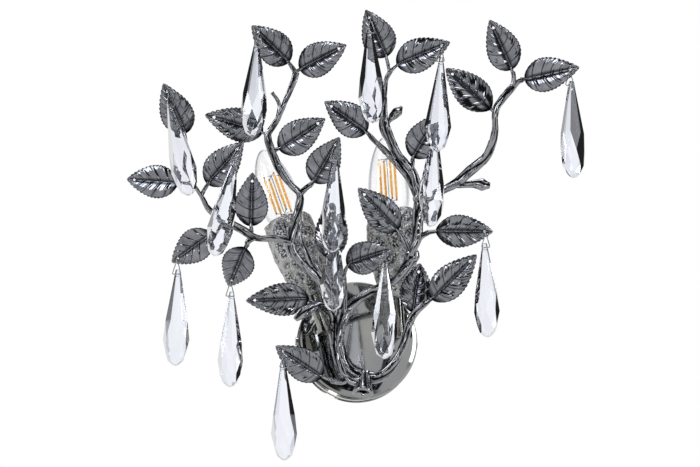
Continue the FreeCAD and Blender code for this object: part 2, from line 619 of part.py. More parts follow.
def make_leaf(name):
    root, foot, tip, roll, share = leaf_places[name]
    frame, along, normal = leaf_frame(name)
    length = size("leaf_length") * share
    hole_place = length - size("leaf_hole_inset")
    rib_end = hole_place - size("leaf_hole") - 3
    rib = Part.makeCone(size("midrib_radius") * 1.2, size("midrib_radius") * 0.6, rib_end,
                        Vector(0, 0, 0), Vector(1, 0, 0))
    blade = half_blade(length, 1).fuse([half_blade(length, -1), rib])
    hole = Part.makeCylinder(size("leaf_hole"), 12, Vector(hole_place, 0, -6))
    blade = blade.cut(hole)
    blade.Placement = frame
    start, end = Vector(root), Vector(foot) + along * 1.5
    stalk = Part.makeCone(size("stalk_radius"), size("midrib_radius") * 1.2, (end - start).Length,
                          start, end - start)
    return blade.fuse(stalk)


# ------------------------------------------------------------ crystal drops

# Each drop: the leaf it hangs from, its lean off the vertical in the photographed
# pose, and how far its face is turned from the viewer.
drop_places = {
    "01": ("A1", -3, 0), "02": ("T1", 1, 6), "03": ("U1", -3, -8), "04": ("R2", 0, 10),
    "05": ("B1", 0, -6), "06": ("L1", 13, 0), "07": ("L3", -11, 8), "08": ("L8", 1, -5),
    "09": ("L9", 1, 7), "10": ("L6", 1, 12), "11": ("C2", -1, 0), "12": ("C1", -3, 5),
    "13": ("S2", 0, -10), "14": ("C3", 0, 4),
}


def crystal_solid():
    """Long faceted drop, widest near its foot; its origin is the middle of its bore."""
    length, inset = size("crystal_length"), size("crystal_bore_inset")
    half, deep = size("crystal_width") / 2, size("crystal_thickness") / 2
    levels = [(0.0, 0.16, 0.26, 0.5), (0.57, 0.83, 0.88, 0.5), (0.77, 1.0, 1.0, 0.0),
              (0.90, 0.76, 0.72, 0.5), (0.975, 0.36, 0.34, 0.0)]
    sides = 8
    rings = []
    for down, wide, thick, shift in levels:
        angles = [2 * math.pi * (k + shift) / sides for k in range(sides)]
        rings.append([Vector(math.cos(a) * half * wide, math.sin(a) * deep * thick,
                             inset - down * length) for a in angles])
    top, bottom = Vector(0, 0, inset), Vector(0, 0, inset - length)
    faces = []

    def triangle(a, b, c):
        faces.append(Part.Face(Part.makePolygon([a, b, c, a])))

    for k in range(sides):
        after = (k + 1) % sides
        triangle(rings[0][k], rings[0][after], top)
        triangle(rings[-1][after], rings[-1][k], bottom)
    for upper, lower, (_, _, _, shift_up), (_, _, _, shift_low) in zip(rings, rings[1:], levels, levels[1:]):
        lag = 1 if shift_up > shift_low else 0
        for k in range(sides):
            after = (k + 1) % sides
            low, low_after = lower[(k + lag) % sides], lower[(after + lag) % sides]
            triangle(upper[k], low, upper[after])
            triangle(upper[after], low, low_after)
    solid = Part.Solid(Part.Shell(faces))
    if solid.Volume < 0:
        solid.reverse()
    bore = Part.makeCylinder(size("crystal_bore"), 3 * half, Vector(-1.5 * half, 0, 0), Vector(1, 0, 0))
    return solid.cut(bore)


def drop_frame(name):
    """Pivot, hinge axis, down and side directions of a drop."""
    leaf, lean, turn = drop_places[name]
    frame, along, normal = leaf_frame(leaf)
    length = size("leaf_length") * leaf_places[leaf][4]
    pivot = frame.multVec(Vector(length - size("leaf_hole_inset"), 0, 0))
    axis = Vector(normal.x, normal.y, 0).normalize()
    down = Rotation(axis, lean).multVec(Vector(0, 0, -1))
    face = Rotation(up, turn).multVec(Vector(viewer.x, viewer.y, 0).normalize())
    side = down.cross(face).normalize()
    return pivot, axis, down, side


def make_drop(name, crystal):
    pivot, axis, down, side = drop_frame(name)
    reach, drop, half = size("hook_reach"), size("hook_drop"), size("hook_width") / 2
    front, behind = pivot + axis * reach, pivot - axis * reach
    hang = front + down * drop
    neck = front + down * 3.5
    points = [behind - down * 2.6, behind, front, neck, hang + side * half, hang - side * half,
              neck - side * 1.1 + down * 1.5]
    feature("hook_" + name, bent_wire(points, size("hook_bend"), size("hook_wire")))
    item = feature("crystal_" + name, crystal.copy())
    item.Placement = Placement(hang, Rotation(side, Vector(), down * -1, "ZXY"))


# ------------------------------------------------------------ assembly

def build():
    lamps = {}
    nuts, cap_nuts = [], []
    holes = [("trunk", fork.x, fork.z, "Sizes.stud_radius + Sizes.screw_clearance")]
    for side, (foot, axis) in lamp_places.items():
        frame = frame_at(foot, axis)
        elbow, cap_nut = make_stem(side, frame)
        cap_nuts.append(cap_nut)
        holes.append((side, elbow.x, elbow.z, "Sizes.pipe_thread_radius + Sizes.screw_clearance"))
        make_cup(side, frame)
        top = make_holder(side, frame)
        make_bulb(side, frame, top)
        make_lead(side, frame, elbow)
    make_wall_plate(holes)
    make_wall_bracket()
    make_side_screws()
    make_terminal_block()
    make_earth_screw()
    inside = size("plate_depth") - size("plate_wall")
    for name, x, z, radius in holes:
        body = cylinder("nut_body_" + name, "Sizes.nut_radius", "Sizes.nut_height",
                        out_of_wall(x, z, inside - size("nut_height")))
        bore = cylinder("nut_bore_" + name, radius, "Sizes.nut_height * 2",
                        out_of_wall(x, z, inside - 1.5 * size("nut_height")))
        nuts.append(boolean("Cut", "lock_nut_" + name, body, bore))
    for label, group in (("lock_nuts", nuts), ("stem_cap_nuts", cap_nuts)):
        item = doc.addObject("Part::Compound", label + "_group")
        item.Links = group
        keep(label, item)

    trunk_shape = make_trunk()
    left_shape = make_left_branch(trunk_shape)
    right_shape = make_right_branch(trunk_shape)
    outer_shape = make_outer_branch(right_shape)
    castings = {"trunk_casting": trunk_shape, "left_branch": left_shape,
                "right_branch": right_shape, "outer_branch": outer_shape}
    for label, shape in castings.items():
        feature(label, shape)
    for label, names in leaf_groups.items():
        leaves = []
        for name in names:
            leaf = make_leaf(name)
            near = [shape for shape in castings.values() if shape.BoundBox.intersect(leaf.BoundBox)]
            leaf = max(leaf.cut(near).Solids, key=lambda solid: solid.Volume)
            leaves.append(leaf)
        feature(label, Part.makeCompound(leaves))

    crystal = crystal_solid()
    for name in drop_places:
        make_drop(name, crystal)


build()
doc.recompute()

for item in doc.Objects:
    if "Invalid" in item.State or "Error" in item.State:
        raise SystemExit("failed object: " + item.Name)
for label, item in pieces.items():
    if item.Shape.isNull() or not item.Shape.isValid():
        raise SystemExit("bad shape: " + label)
os.makedirs("parts", exist_ok=True)
for label, item in pieces.items():
    item.Shape.exportStep("parts/%s.step" % label)
print(len(pieces), "nodes written")
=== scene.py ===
import json
import math

import bmesh
import bpy
from mathutils import Matrix, Vector, noise


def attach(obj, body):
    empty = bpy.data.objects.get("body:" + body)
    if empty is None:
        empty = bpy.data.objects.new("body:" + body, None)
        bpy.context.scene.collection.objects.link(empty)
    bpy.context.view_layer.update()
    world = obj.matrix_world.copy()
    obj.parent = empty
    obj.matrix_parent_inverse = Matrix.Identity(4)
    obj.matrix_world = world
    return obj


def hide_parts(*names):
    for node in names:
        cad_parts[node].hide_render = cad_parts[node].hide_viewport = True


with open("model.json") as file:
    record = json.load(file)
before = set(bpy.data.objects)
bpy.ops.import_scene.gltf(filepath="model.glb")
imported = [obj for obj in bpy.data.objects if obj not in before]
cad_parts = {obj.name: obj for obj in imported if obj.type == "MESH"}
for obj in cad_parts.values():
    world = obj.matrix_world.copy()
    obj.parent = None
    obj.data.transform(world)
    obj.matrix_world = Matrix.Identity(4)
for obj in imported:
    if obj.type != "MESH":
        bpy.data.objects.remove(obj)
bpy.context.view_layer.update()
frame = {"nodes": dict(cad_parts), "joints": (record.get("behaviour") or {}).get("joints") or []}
mm = 0.001
print("frame loaded,", len(frame["nodes"]), "nodes")


# ---- small helpers

def toLinear(hexText):
    values = [int(hexText[k:k + 2], 16) / 255 for k in (1, 3, 5)]
    return [v / 12.92 if v <= 0.04045 else ((v + 0.055) / 1.055) ** 2.4 for v in values] + [1.0]


def addNode(tree, kind, settings=None, inputs=None, links=None):
    node = tree.nodes.new(kind)
    for key, value in (settings or {}).items():
        setattr(node, key, value)
    for key, value in (inputs or {}).items():
        node.inputs[key].default_value = value
    for key, socket in (links or {}).items():
        tree.links.new(socket, node.inputs[key])
    return node


def newMaterial(name, **inputs):
    material = bpy.data.materials.new(name)
    material.use_nodes = True
    tree = material.node_tree
    shader = tree.nodes["Principled BSDF"]
    for key, value in inputs.items():
        shader.inputs[key.replace("_", " ")].default_value = value
    return material, tree, shader


def objectSpace(tree, perMm):
    # object coordinates scaled so that 1 unit is the given number of millimetres
    coords = addNode(tree, "ShaderNodeTexCoord")
    scale = 1 / (perMm * mm)
    return addNode(tree, "ShaderNodeMapping", inputs={"Scale": (scale, scale, scale)},
                   links={"Vector": coords.outputs["Object"]}).outputs["Vector"]


def colourRamp(tree, source, stops):
    ramp = addNode(tree, "ShaderNodeValToRGB", links={"Fac": source})
    while len(ramp.color_ramp.elements) < len(stops):
        ramp.color_ramp.elements.new(0.5)
    for element, (place, hexText) in zip(ramp.color_ramp.elements, stops):
        element.position = place
        element.color = toLinear(hexText)
    return ramp.outputs["Color"]


def numberRamp(tree, source, low, high, toLow, toHigh):
    return addNode(tree, "ShaderNodeMapRange",
                   inputs={"From Min": low, "From Max": high, "To Min": toLow, "To Max": toHigh},
                   links={"Value": source}).outputs["Result"]


def makeObject(name, points, faces, material, uv=None, marks=None, smooth=True):
    mesh = bpy.data.meshes.new(name)
    mesh.from_pydata([tuple(p) for p in points], [], faces)
    mesh.validate()
    if uv:
        layer = mesh.uv_layers.new(name="UVMap")
        for loop in mesh.loops:
            layer.data[loop.index].uv = uv[loop.vertex_index]
    for key, values in (marks or {}).items():
        mesh.attributes.new(key, "FLOAT", "POINT").data.foreach_set("value", values)
    for polygon in mesh.polygons:
        polygon.use_smooth = smooth
    mesh.materials.append(material)
    item = bpy.data.objects.new(name, mesh)
    bpy.context.scene.collection.objects.link(item)
    return item


def smoothPath(points, step):
    # Catmull-Rom line through the points, cut into even steps
    points = [Vector(p) for p in points]
    ends = [points[0] * 2 - points[1]] + points + [points[-1] * 2 - points[-2]]
    dense = []
    for a, b, c, d in zip(ends, ends[1:], ends[2:], ends[3:]):
        parts = max(4, int((c - b).length / step * 2))
        for k in range(parts):
            t = k / parts
            dense.append(0.5 * ((2 * b) + (c - a) * t + (2 * a - 5 * b + 4 * c - d) * t * t
                                + (3 * b - a - 3 * c + d) * t ** 3))
    dense.append(points[-1])
    run = [0.0]
    for p, q in zip(dense, dense[1:]):
        run.append(run[-1] + (q - p).length)
    count = max(3, round(run[-1] / step) + 1)
    line, place = [], 0
    for k in range(count):
        goal = run[-1] * k / (count - 1)
        while place < len(run) - 2 and run[place + 1] < goal:
            place += 1
        share = (goal - run[place]) / max(run[place + 1] - run[place], 1e-9)
        line.append(dense[place].lerp(dense[place + 1], min(1.0, share)))
    return line, run[-1]


def spread(values, share):
    place = share * (len(values) - 1)
    low = min(int(place), len(values) - 2)
    return values[low] + (values[low + 1] - values[low]) * (place - low)


def ringFaces(rings, around):
    # quads that join each ring of points to the next one
    faces = []
    for k in range(rings - 1):
        for j in range(around):
            after = (j + 1) % around
            faces.append((k * around + j, k * around + after, (k + 1) * around + after, (k + 1) * around + j))
    return faces


class Pile:
    # gathers the points and faces of one piece
    def __init__(self):
        self.points, self.faces, self.uv, self.marks = [], [], [], []

    def add(self, points, faces, uv, marks):
        first = len(self.points)
        self.points += points
        self.faces += [tuple(first + k for k in face) for face in faces]
        self.uv += uv
        self.marks += marks


# ---- materials

# barkLook's flank and groove colours are painted shade, for the sides and bottoms of the grooves
barkLook = {"ridge": "#a6a7aa", "flank": "#5e5f63", "groove": "#101113", "roughness": 0.13, "grainMm": 1.6}
# leafLook's crease colour is painted shade, for the lines beside the veins and midrib, round the teeth and at
# the foot of each blade
leafLook = {"buffed": "#9fa1a6", "panel": "#6c6e75", "crease": "#141517", "roughness": 0.12, "cloudMm": 9.0,
            "hammerMm": 2.6}
# cupLook: the pit colour is painted shade in the grit's pits, light is painted glints on its peaks, line is a
# painted highlight on the raised lines
cupLook = {"pit": "#111113", "dark": "#7d7d7f", "light": "#fbfaf8", "line": "#d2d2d0", "gritMm": 1.5,
           "roughness": 0.38}


def makeBarkNickel():
    # black nickel plate on cast metal, polished on the ridges: dark grooves, bright crests; the dark in the
    # grooves is painted shade, laid on deeper as the groove deepens
    material, tree, shader = newMaterial("black nickel plate, cast bark", Metallic=1.0)
    mark = addNode(tree, "ShaderNodeAttribute", {"attribute_name": "groove"})
    grain = addNode(tree, "ShaderNodeTexNoise", inputs={"Scale": 1.0, "Detail": 4.0, "Roughness": 0.6},
                    links={"Vector": objectSpace(tree, barkLook["grainMm"])})
    depth = addNode(tree, "ShaderNodeMath", {"operation": "MULTIPLY_ADD"}, {1: 0.3},
                    {0: grain.outputs["Fac"], 2: mark.outputs["Fac"]})
    colour = colourRamp(tree, depth.outputs["Value"],
                        [(0.3, barkLook["ridge"]), (0.7, barkLook["flank"]), (0.92, barkLook["groove"])])
    tree.links.new(colour, shader.inputs["Base Color"])
    tree.links.new(numberRamp(tree, depth.outputs["Value"], 0.1, 1.0, barkLook["roughness"] * 0.7,
                              barkLook["roughness"] * 2.2), shader.inputs["Roughness"])
    bump = addNode(tree, "ShaderNodeBump", inputs={"Strength": 0.35, "Distance": 0.12 * mm},
                   links={"Height": grain.outputs["Fac"]})
    tree.links.new(bump.outputs["Normal"], shader.inputs["Normal"])
    return material


def makeLeafNickel():
    # black nickel plate on a cast leaf, buffed on the panels: mirror panels; the dark vein lines are painted
    # shade, laid on by the groove marks of each blade
    material, tree, shader = newMaterial("black nickel plate, cast leaf", Metallic=1.0)
    mark = addNode(tree, "ShaderNodeAttribute", {"attribute_name": "groove"})
    cloud = addNode(tree, "ShaderNodeTexNoise", inputs={"Scale": 1.0, "Detail": 3.0},
                    links={"Vector": objectSpace(tree, leafLook["cloudMm"])})
    shade = addNode(tree, "ShaderNodeMath", {"operation": "MULTIPLY_ADD"}, {1: 0.35},
                    {0: cloud.outputs["Fac"], 2: mark.outputs["Fac"]})
    colour = colourRamp(tree, shade.outputs["Value"],
                        [(0.1, leafLook["buffed"]), (0.3, leafLook["panel"]), (0.9, leafLook["crease"])])
    tree.links.new(colour, shader.inputs["Base Color"])
    tree.links.new(numberRamp(tree, shade.outputs["Value"], 0.1, 1.0, leafLook["roughness"],
                              leafLook["roughness"] * 2.5), shader.inputs["Roughness"])
    hammer = addNode(tree, "ShaderNodeTexNoise", inputs={"Scale": 1.0, "Detail": 2.0},
                     links={"Vector": objectSpace(tree, leafLook["hammerMm"])})
    bump = addNode(tree, "ShaderNodeBump", inputs={"Strength": 0.3, "Distance": 0.16 * mm},
                   links={"Height": hammer.outputs["Fac"]})
    tree.links.new(bump.outputs["Normal"], shader.inputs["Normal"])
    return material


def makeSandCast():
    # sand-cast metal, plated grey and left rough: a grit painted near black in its pits and near white on its
    # peaks, painted shade and glints, between smooth raised lines that are also painted lighter, a painted
    # highlight
    material, tree, shader = newMaterial("sand-cast metal, plated grey", Metallic=0.8)
    mark = addNode(tree, "ShaderNodeAttribute", {"attribute_name": "groove"})
    grit = addNode(tree, "ShaderNodeTexNoise", inputs={"Scale": 1.0, "Detail": 3.0, "Roughness": 0.75},
                   links={"Vector": objectSpace(tree, cupLook["gritMm"])})
    colour = colourRamp(tree, grit.outputs["Fac"],
                        [(0.43, cupLook["pit"]), (0.51, cupLook["dark"]), (0.58, cupLook["light"])])
    edged = addNode(tree, "ShaderNodeMix", {"data_type": "RGBA"},
                    {"B": toLinear(cupLook["line"])}, {"Factor": mark.outputs["Fac"], "A": colour})
    tree.links.new(edged.outputs["Result"], shader.inputs["Base Color"])
    tree.links.new(numberRamp(tree, mark.outputs["Fac"], 0.0, 1.0, cupLook["roughness"], 0.22),
                   shader.inputs["Roughness"])
    bump = addNode(tree, "ShaderNodeBump", inputs={"Strength": 1.0, "Distance": 0.5 * mm},
                   links={"Height": grit.outputs["Fac"]})
    tree.links.new(bump.outputs["Normal"], shader.inputs["Normal"])
    return material


def makeMetal(name, low, high, roughness, cloudMm, bumpMm=0.0):
    # a plain metal finish whose colour and gloss drift a little over the surface
    material, tree, shader = newMaterial(name, Metallic=1.0)
    cloud = addNode(tree, "ShaderNodeTexNoise", inputs={"Scale": 1.0, "Detail": 3.0},
                    links={"Vector": objectSpace(tree, cloudMm)})
    colour = colourRamp(tree, cloud.outputs["Fac"], [(0.35, low), (0.65, high)])
    tree.links.new(colour, shader.inputs["Base Color"])
    tree.links.new(numberRamp(tree, cloud.outputs["Fac"], 0.3, 0.7, roughness * 0.7, roughness * 1.3),
                   shader.inputs["Roughness"])
    if bumpMm:
        bump = addNode(tree, "ShaderNodeBump", inputs={"Strength": 0.5, "Distance": bumpMm * mm},
                       links={"Height": cloud.outputs["Fac"]})
        tree.links.new(bump.outputs["Normal"], shader.inputs["Normal"])
    return material


def makeMoulding(name, low, high, roughness, grainMm):
    # moulded plastic or rubber: one colour with a fine spark-eroded grain
    material, tree, shader = newMaterial(name)
    grain = addNode(tree, "ShaderNodeTexNoise", inputs={"Scale": 1.0, "Detail": 2.0},
                    links={"Vector": objectSpace(tree, grainMm)})
    tree.links.new(colourRamp(tree, grain.outputs["Fac"], [(0.3, low), (0.7, high)]),
                   shader.inputs["Base Color"])
    shader.inputs["Roughness"].default_value = roughness
    bump = addNode(tree, "ShaderNodeBump", inputs={"Strength": 0.3, "Distance": 0.05 * mm},
                   links={"Height": grain.outputs["Fac"]})
    tree.links.new(bump.outputs["Normal"], shader.inputs["Normal"])
    return material


def makeGlass(name, stops, ior, shadowTint):
    # clear glass, painted greyer where it is seen edge on, a painted shade for the darker room its edges
    # would show; light passes straight through into its shadow
    material, tree, shader = newMaterial(name, Transmission_Weight=1.0, Roughness=0.0, IOR=ior)
    edge = addNode(tree, "ShaderNodeLayerWeight", inputs={"Blend": 0.5})
    cloud = addNode(tree, "ShaderNodeTexNoise", inputs={"Scale": 1.0, "Detail": 1.0},
                    links={"Vector": objectSpace(tree, 25.0)})
    slant = addNode(tree, "ShaderNodeMath", {"operation": "MULTIPLY_ADD"}, {1: 0.06},
                    {0: cloud.outputs["Fac"], 2: edge.outputs["Facing"]})
    tree.links.new(colourRamp(tree, slant.outputs["Value"], stops), shader.inputs["Base Color"])
    path = addNode(tree, "ShaderNodeLightPath")
    clear = addNode(tree, "ShaderNodeBsdfTransparent", inputs={"Color": toLinear(shadowTint)})
    both = addNode(tree, "ShaderNodeMixShader",
                   links={0: path.outputs["Is Shadow Ray"], 1: shader.outputs[0], 2: clear.outputs[0]})
    tree.links.new(both.outputs[0], tree.nodes["Material Output"].inputs["Surface"])
    return material


def makeAmber():
    # phosphor-coated filament rods, unlit: a warm amber with a slight mottle, and a faint painted glow so
    # that they keep their colour behind the glass
    material, tree, shader = newMaterial("amber phosphor coating", Roughness=0.45)
    mottle = addNode(tree, "ShaderNodeTexNoise", inputs={"Scale": 1.0, "Detail": 2.0},
                     links={"Vector": objectSpace(tree, 1.2)})
    colour = colourRamp(tree, mottle.outputs["Fac"], [(0.3, "#c4861a"), (0.7, "#eeb750")])
    tree.links.new(colour, shader.inputs["Base Color"])
    # painted glow: the unlit rods emit their own colour faintly
    tree.links.new(colour, shader.inputs["Emission Color"])
    shader.inputs["Emission Strength"].default_value = 0.25
    return material


# plate and posts mirror the room; wire and zinc are duller; mouldings are matt with a fine grain
finish = {
    "bark": makeBarkNickel(),
    "leaf": makeLeafNickel(),
    "cup": makeSandCast(),
    "plate": makeMetal("black nickel plate, mirror", "#9b9d9f", "#a9aaa6", 0.07, 40.0),
    "turned": makeMetal("black nickel plate, turned", "#9a9a96", "#abaaa4", 0.1, 12.0, 0.02),
    "wire": makeMetal("chromed spring wire", "#8d8d8c", "#b5b5b4", 0.15, 3.0),
    "zinc": makeMetal("zinc plated steel", "#9c9fa1", "#b9bbba", 0.35, 8.0, 0.03),
    "brass": makeMetal("turned brass", "#b58f45", "#cfae62", 0.25, 6.0, 0.02),
    "cap": makeMetal("nickel plated brass cap", "#a8a49a", "#c9c4b6", 0.25, 5.0, 0.04),
    "steelWire": makeMetal("nickel steel lamp wire", "#77777a", "#9a9a9c", 0.3, 2.0),
    "holder": makeMoulding("black phenolic moulding", "#141415", "#1d1d1f", 0.4, 0.8),
    "silicone": makeMoulding("silicone sleeving", "#d6d4cd", "#e4e2dc", 0.55, 1.0),
    "nylon": makeMoulding("white nylon moulding", "#dcdcd6", "#ebebe6", 0.45, 1.0),
    "crystal": makeGlass("cut and polished crystal",
                         [(0.14, "#f2f4fb"), (0.5, "#ccd2e0"), (0.95, "#858ea3")], 1.55, "#d9dde3"),
    "bulb": makeGlass("blown soda-lime glass",
                      [(0.5, "#ffffff"), (0.7, "#c6cdd9"), (0.9, "#788193")], 1.47, "#f2f2f2"),
    "amber": makeAmber(),
}
carried = {"wall_plate": "plate", "wall_bracket": "zinc", "side_screws": "turned",
           "terminal_block": "nylon", "earth_screw": "brass", "lock_nuts": "brass",
           "stem_cap_nuts": "turned"}
for start, look in (("crystal_", "crystal"), ("hook_", "wire"), ("bulb_glass_", "bulb"),
                    ("bulb_cap_", "cap"), ("lampholder_", "holder"), ("lead_", "silicone"),
                    ("stem_left", "turned"), ("stem_right", "turned"), ("filament_mount_", "steelWire")):
    for name in frame["nodes"]:
        if name.startswith(start):
            carried[name] = look
for name, look in carried.items():
    mesh = frame["nodes"][name].data
    mesh.materials.clear()
    mesh.materials.append(finish[look])
print("materials made")


# ---- branches

bark = {"stepMm": 1.1, "around": 30, "lobe": 0.17, "twistPerMm": 0.045, "grooveDepthMm": 0.75,
        "grooveLengthMm": 26.0}


def barkTube(pile, points, radii, seed):
    # two strands grown together, slowly twisting, with grooves that run along them
    line, length = smoothPath(points, bark["stepMm"])
    around = bark["around"]
    side, places, faces, uv, marks = None, [], [], [], []
    for k, place in enumerate(line):
        along = (line[min(k + 1, len(line) - 1)] - line[max(k - 1, 0)]).normalized()
        side = (along.orthogonal() if side is None else side - along * side.dot(along)).normalized()
        up = along.cross(side)
        share = k / (len(line) - 1)
        run = share * length
        radius = spread(radii, share)
        knot = 1 + 0.07 * noise.noise(Vector((run / 9.0, seed * 3.1, 0)))
        for j in range(around):
            angle = 2 * math.pi * j / around
            lobe = math.cos(2 * (angle - run * bark["twistPerMm"] - seed))
            crease = max(0.0, -lobe) ** 4
            spot = Vector((math.cos(angle) * 1.5, math.sin(angle) * 1.5,
                           run / bark["grooveLengthMm"] * 2 + seed * 7.3))
            ridged = max(0.0, 1 - abs(noise.noise(spot)) * 5)
            depth = min(1.0, 0.8 * ridged ** 1.5 + 0.9 * crease)
            reach = radius * knot * (1 + bark["lobe"] * lobe) - depth * bark["grooveDepthMm"]
            places.append((place + (side * math.cos(angle) + up * math.sin(angle)) * reach) * mm)
            uv.append((angle / (2 * math.pi), run * mm))
            # the groove depth, the strands' crease included, is kept as a mark that paints the colour darker:
            # painted shade in the grooves
            marks.append(depth)
    faces += ringFaces(len(line), around)
    for k, place, flip in ((0, line[0], True), (len(line) - 1, line[-1], False)):
        places.append(place * mm)
        uv.append((0.5, 0.0))
        marks.append(0.3)
        for j in range(around):
            edge = (k * around + j, k * around + (j + 1) % around)
            faces.append((edge[1], edge[0], len(places) - 1) if flip else (edge[0], edge[1], len(places) - 1))
    pile.add(places, faces, uv, marks)


# radii of the limbs in mm, then their routes: points in mm, and the radii spread along them
trunk, heavy, thin, twig = 4.6, 4.0, 3.3, 2.3
fork = (0, -62, -39)
branches = {
    "trunk_casting": [
        ([fork, (-9, -62, -43), (-17, -61, -37), (-23, -60, -21), (-26, -60, -4), (-27, -62, 8),
          (-29, -66, 15)], [trunk, trunk, heavy, heavy, heavy]),
        ([fork, (8, -64, -40), (16, -66, -36), (23, -70, -28), (28, -74, -18), (31, -78, -9),
          (33, -82, 1), (37, -86, 10), (44, -92, 17)], [trunk, heavy, thin, twig * 1.1]),
        ([fork, (-8, -62, -36), (-15, -62, -30), (-20, -62, -17), (-21, -64, -7), (-20, -67, 4),
          (-16, -71, 15), (-9, -75, 22), (0, -79, 28), (8, -83, 31), (21, -89, 37), (28, -95, 46),
          (33, -101, 55)], [trunk, heavy, heavy, thin, heavy, heavy]),
        ([(-13, -62, -40), (-20, -62, -44), (-29, -62, -43)], [twig * 1.3, twig]),
        ([(-18, -69, 10), (-19, -76, 25), (-21, -83, 40)], [twig, twig * 0.8]),
        ([(-28, -65, 13), (-31, -76, 24), (-33, -86, 36), (-34, -92, 44)], [twig * 1.1, twig * 0.8]),
        ([(-27, -64, 13), (-33, -74, 17), (-40, -80, 17), (-52, -84, 10), (-61, -86, 2)],
         [twig * 1.2, twig, twig, twig * 1.5, twig * 1.9, twig * 0.9]),
    ],
    "left_branch": [
        ([(-29, -66, 14), (-35, -78, 25), (-42, -88, 36), (-56, -95, 46), (-65, -100, 55),
          (-67, -104, 64), (-65, -109, 76), (-62, -114, 88), (-62, -118, 98), (-70, -122, 105),
          (-78, -126, 114), (-83, -130, 122), (-87, -134, 130), (-90, -138, 140), (-86, -141, 147),
          (-81, -143, 156), (-76, -147, 169), (-71, -149, 182), (-69, -151, 190)],
         [heavy, heavy, thin, thin, twig * 1.1, twig]),
        ([(-66, -103, 62), (-80, -105, 64), (-91, -107, 63), (-99, -109, 64), (-106, -111, 68),
          (-117, -113, 73), (-133, -115, 82), (-140, -115, 93), (-146, -114, 102), (-152, -113, 105)],
         [thin, thin, thin * 0.9, twig, twig * 0.8]),
        ([(-147, -114, 102), (-151, -111, 114), (-153, -106, 128), (-154, -102, 143)],
         [twig, twig * 0.8]),
        ([(-60, -115, 96), (-62, -111, 89), (-61, -109, 78), (-60, -105, 65), (-55, -101, 56),
          (-50, -96, 48), (-42, -89, 40), (-37, -80, 29)], [twig, twig * 1.1, twig * 1.2, twig]),
        ([(-96, -108, 64), (-101, -107, 61), (-103, -106, 58)], [twig, twig * 0.8]),
        ([(-122, -113, 76), (-126, -114, 71), (-130, -114, 66)], [twig, twig * 0.8]),
        ([(-83, -143, 152), (-82, -146, 164), (-88, -148, 173)], [twig * 0.8, twig * 0.7, twig * 0.6]),
        ([(-62, -117, 98), (-57, -119, 103), (-53, -120, 106)], [twig, twig * 0.8]),
    ],
    "right_branch": [
        ([(33, -101, 55), (34, -104, 61), (36, -107, 68), (36, -111, 80), (36, -115, 89),
          (37, -119, 99)], [heavy, trunk, trunk, heavy]),
        ([(37, -118, 97), (28, -124, 113), (18, -127, 124), (9, -129, 132), (0, -130, 140),
          (-6, -130, 146)], [heavy, thin, thin, twig]),
        ([(37, -119, 98), (30, -126, 117), (23, -130, 125), (15, -134, 133), (8, -140, 144),
          (3, -145, 155), (2, -149, 166), (2, -152, 175), (3, -156, 185), (6, -159, 192)],
         [heavy, thin, thin, thin * 0.9, twig]),
        ([(15, -130, 128), (9, -135, 138), (2, -140, 148), (1, -145, 158)], [twig * 0.9, twig * 0.8]),
        ([(5, -142, 150), (9, -143, 157), (13, -143, 162), (18, -143, 168)],
         [twig * 0.6, twig * 0.8, twig * 1.8, twig * 1.9, twig * 0.5]),
        ([(33, -102, 57), (29, -103, 61), (25, -106, 67), (22, -108, 71)], [twig, twig * 0.8]),
        ([(36, -107, 66), (40, -108, 70), (46, -110, 73)], [twig * 1.1, twig * 0.8]),
        ([(27, -127, 117), (29, -129, 123), (29, -130, 127)], [twig, twig * 0.8]),
    ],
    "outer_branch": [
        ([(38, -119, 97), (52, -130, 102), (63, -138, 107), (73, -148, 115), (83, -158, 123),
          (87, -166, 133), (88, -172, 142), (87, -177, 151), (88, -180, 158), (92, -184, 164),
          (98, -187, 171), (102, -189, 176)],
         [heavy, heavy, heavy * 0.95, thin, thin, thin * 0.9, twig * 1.1]),
        ([(61, -136, 105), (68, -139, 105), (78, -140, 106), (90, -141, 105)],
         [thin * 0.8, twig * 1.1, twig * 1.2, twig * 1.5, twig * 2.1, twig * 0.9]),
        ([(100, -188, 174), (100, -190, 180), (99, -192, 184)], [twig, twig * 0.8]),
        ([(100, -188, 173), (104, -189, 177), (107, -190, 178)], [twig, twig * 0.8]),
    ],
}
knuckles = {"trunk_casting": [((-28, -66, 14), (-1, -4, 5), 4.8), ((33, -101, 55), (4, -6, 9), 5.3)],
            "right_branch": [((37, -119, 98), (2, -5, 10), 5.3)]}


# radius and height of the foot's outline, from the hollow over the rim and up the neck
flare = {"profile": [(2.4, 11), (3.6, 4), (5.0, 0.8), (6.9, -0.4), (8.2, 0.1), (8.5, 1.2), (7.8, 3.5),
                     (6.9, 7), (6.4, 11), (6.3, 16), (5.6, 19)],
         "base": (-3, -67, -54), "axis": (0.15, 0.3, 1), "stepMm": 0.6, "around": 36, "flutes": 7,
         "fluteDepthMm": 0.8}
boss = {"wallMm": -28.2, "middleMm": -45, "radiusMm": 4.0}


